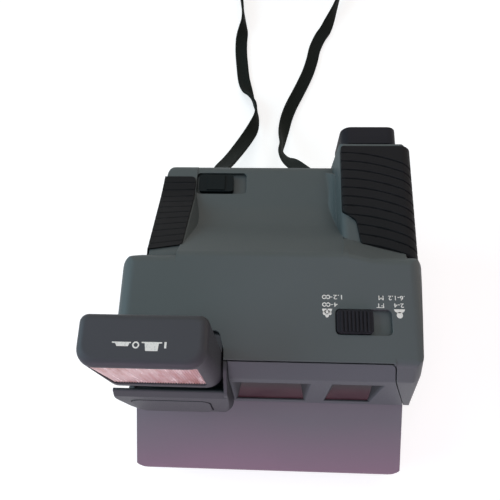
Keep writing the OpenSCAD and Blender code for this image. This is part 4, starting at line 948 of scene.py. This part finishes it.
def dial_number(bm, number):
    """A number on the face of the dial, with its foot towards the middle."""
    a = math.radians(360 / DIAL_NUMBERS * number)

    def place(font_x, font_y, lift, box):
        across = -(font_x - (box[0] + box[1]) / 2) * NUMBER_SIZE
        up = NUMBER_FOOT + font_y * NUMBER_SIZE
        x = across * math.cos(a) + up * math.sin(a)
        z = up * math.cos(a) - across * math.sin(a)
        return DIAL_CENTRE + Vector((x, lift, z))

    add_text(bm, str(number), place)


def marks_piece(name, bm, body):
    """The marks drawn in bm as a piece of ink."""
    bmesh.ops.triangulate(bm, faces=bm.faces)
    bmesh.ops.recalc_face_normals(bm, faces=bm.faces)
    piece = new_piece(name, to_mesh(bm, name), INK, body)


def deck_marks():
    """Distances of the two slider settings, far on the left and near on the right, with a sign for each."""
    bm = bmesh.new()
    for words, x, y in DECK_WORDS:
        ink_text(bm, words, x, y, DECK_Z)
    for y in ENDLESS_Y:
        for x in ENDLESS_X:
            ink_ring(bm, (x, y), *ENDLESS_RADII, DECK_Z)
    ink_person(bm, *NEAR_PERSON, DECK_Z)
    for x, y, size in FAR_GROUP:
        shoulders, head = [[r * size for r in radii] for radii in (FAR_SHOULDERS, FAR_HEAD)]
        ink_person(bm, (x, y), shoulders, head, FAR_HEAD_UP * size, DECK_Z)
    marks_piece("deck_marks", bm, "body")


def flash_marks():
    """Signs for the flash head sunk, off, and raised, on."""
    bm = bmesh.new()
    for sign in (FLASH_OFF_SIGN, FLASH_ON_SIGN, FLASH_ON_BAR):
        ink_shape(bm, sign, COVER_Z[1])
    ink_ring(bm, *FLASH_OFF_RING, COVER_Z[1])
    marks_piece("flash_marks", bm, "flash_head")


def dial_marks():
    """Plain numbers round the frame counter, upright in its window one at a time."""
    bm = bmesh.new()
    for number in range(DIAL_NUMBERS):
        dial_number(bm, number)
    bmesh.ops.recalc_face_normals(bm, faces=bm.faces)
    piece = new_piece("dial_marks", to_mesh(bm, "dial_marks"), BLACK, "counter_dial")


deck_marks()
flash_marks()
dial_marks()


# Camera: a perspective fit of the photograph

PHOTO_SIDE = 500
FOCAL_PX = 450
AXIS_PX = (250, 300)
NADIR_PX = (266, 432)
TURN = math.radians(-1.6)
EYE = Vector((-0.6, -63.1, 247.9)) * MM
SENSOR_W = 36
CLIP = (0.01, 20)


def add_camera():
    """Camera at the eye point, tilted so that straight down falls on the nadir, with a small turn."""
    nadir = [(n - a) / FOCAL_PX for n, a in zip(NADIR_PX, AXIS_PX)]
    z_axis = -Vector((nadir[0], nadir[1], 1)).normalized()
    level = Vector((1, 0, 0))
    level = (level - level.dot(z_axis) * z_axis).normalized()
    across = z_axis.cross(level)
    x_axis = math.cos(TURN) * level + math.sin(TURN) * across
    y_axis = z_axis.cross(x_axis)
    right = Vector((x_axis[0], y_axis[0], z_axis[0]))
    up = -Vector((x_axis[1], y_axis[1], z_axis[1]))
    back = -Vector((x_axis[2], y_axis[2], z_axis[2]))
    data = bpy.data.cameras.new("camera")
    data.sensor_width = SENSOR_W
    data.lens = SENSOR_W * FOCAL_PX / PHOTO_SIDE
    data.shift_x = (PHOTO_SIDE / 2 - AXIS_PX[0]) / PHOTO_SIDE
    data.shift_y = (AXIS_PX[1] - PHOTO_SIDE / 2) / PHOTO_SIDE
    data.clip_start, data.clip_end = CLIP
    cam = add_object("camera", data)
    cam.matrix_world = Matrix.Translation(EYE) @ Matrix((right, up, back)).transposed().to_4x4()
    scene.camera = cam


add_camera()


# Floor and light

FLOOR_HALF = 4
FLOOR_Z = -0.2 * MM
# The floor's own light for the eye: a share of white near the camera, which rises to all of it far away
FLOOR_SHARE = 0.7
FLOOR_NEAR = 0.5
FLOOR_FAR = 2.2
WORLD_STRENGTH = 0.14
LIGHT_TARGET = Vector((0, 0, 0.05))
# Soft lights: name, place, size, power and colour
LIGHTS = (
    ("top", (0.0, 0.15, 1.1), (1.0, 1.0), 4.5, (0.95, 0.96, 1.0)),
    ("back", (0.0, 1.0, 0.8), (1.2, 0.8), 2.8, (1.0, 0.72, 0.45)),
    ("left", (-1.0, 0.0, 0.6), (0.8, 0.8), 9, (0.55, 0.86, 1.0)),
    ("right", (1.0, 0.2, 0.25), (0.6, 0.4), 1.2, (1.0, 0.78, 0.55)),
    ("front", (0.0, -0.9, 0.3), (1.2, 0.4), 6.5, (1.0, 0.72, 0.94)),
)


def add_floor():
    """Pale floor that keeps the shadows and is lifted to white for the eye."""
    bm = bmesh.new()
    bmesh.ops.create_grid(bm, x_segments=8, y_segments=8, size=FLOOR_HALF)
    floor = add_object("floor", to_mesh(bm, "floor"))
    floor.location.z = FLOOR_Z
    t = Finish("floor")
    t.surface(Base_Color=t.mix(t.noise(3, 2), rgb(0.44, 0.44, 0.44), rgb(0.46, 0.46, 0.46)))
    t.surface(Roughness=0.9, Specular_IOR_Level=0.1)
    far = t.add("ShaderNodeVectorMath", {0: t.coord}, operation="LENGTH").outputs["Value"]
    share = t.span(far, FLOOR_NEAR, FLOOR_FAR, FLOOR_SHARE, 1.0)
    t.surface(Emission_Color=rgb(1, 1, 1), Emission_Strength=t.math("MULTIPLY", t.seen(), share))
    floor.data.materials.append(t.mat)


def add_area(name, place, size, power, color):
    """A soft light that looks at the light target."""
    data = bpy.data.lights.new(name, "AREA")
    data.shape = "RECTANGLE"
    data.size, data.size_y = size
    data.energy = power
    data.color = color
    light = add_object(name, data)
    light.location = place
    light.rotation_mode = "QUATERNION"
    light.rotation_quaternion = (LIGHT_TARGET - Vector(place)).to_track_quat("-Z", "Y")


def add_world():
    """Soft even light from all round, seen as white by the eye."""
    world = bpy.data.worlds.new("studio")
    scene.world = world
    t = Tree(world)
    shade = t.nodes["Background"]
    t.set(shade.inputs["Color"], rgb(1, 1, 1))
    t.set(shade.inputs["Strength"], t.span(t.seen(), 0.0, 1.0, WORLD_STRENGTH, 1.0))


add_floor()
add_world()
for light in LIGHTS:
    add_area(*light)
scene.view_settings.view_transform = "Standard"
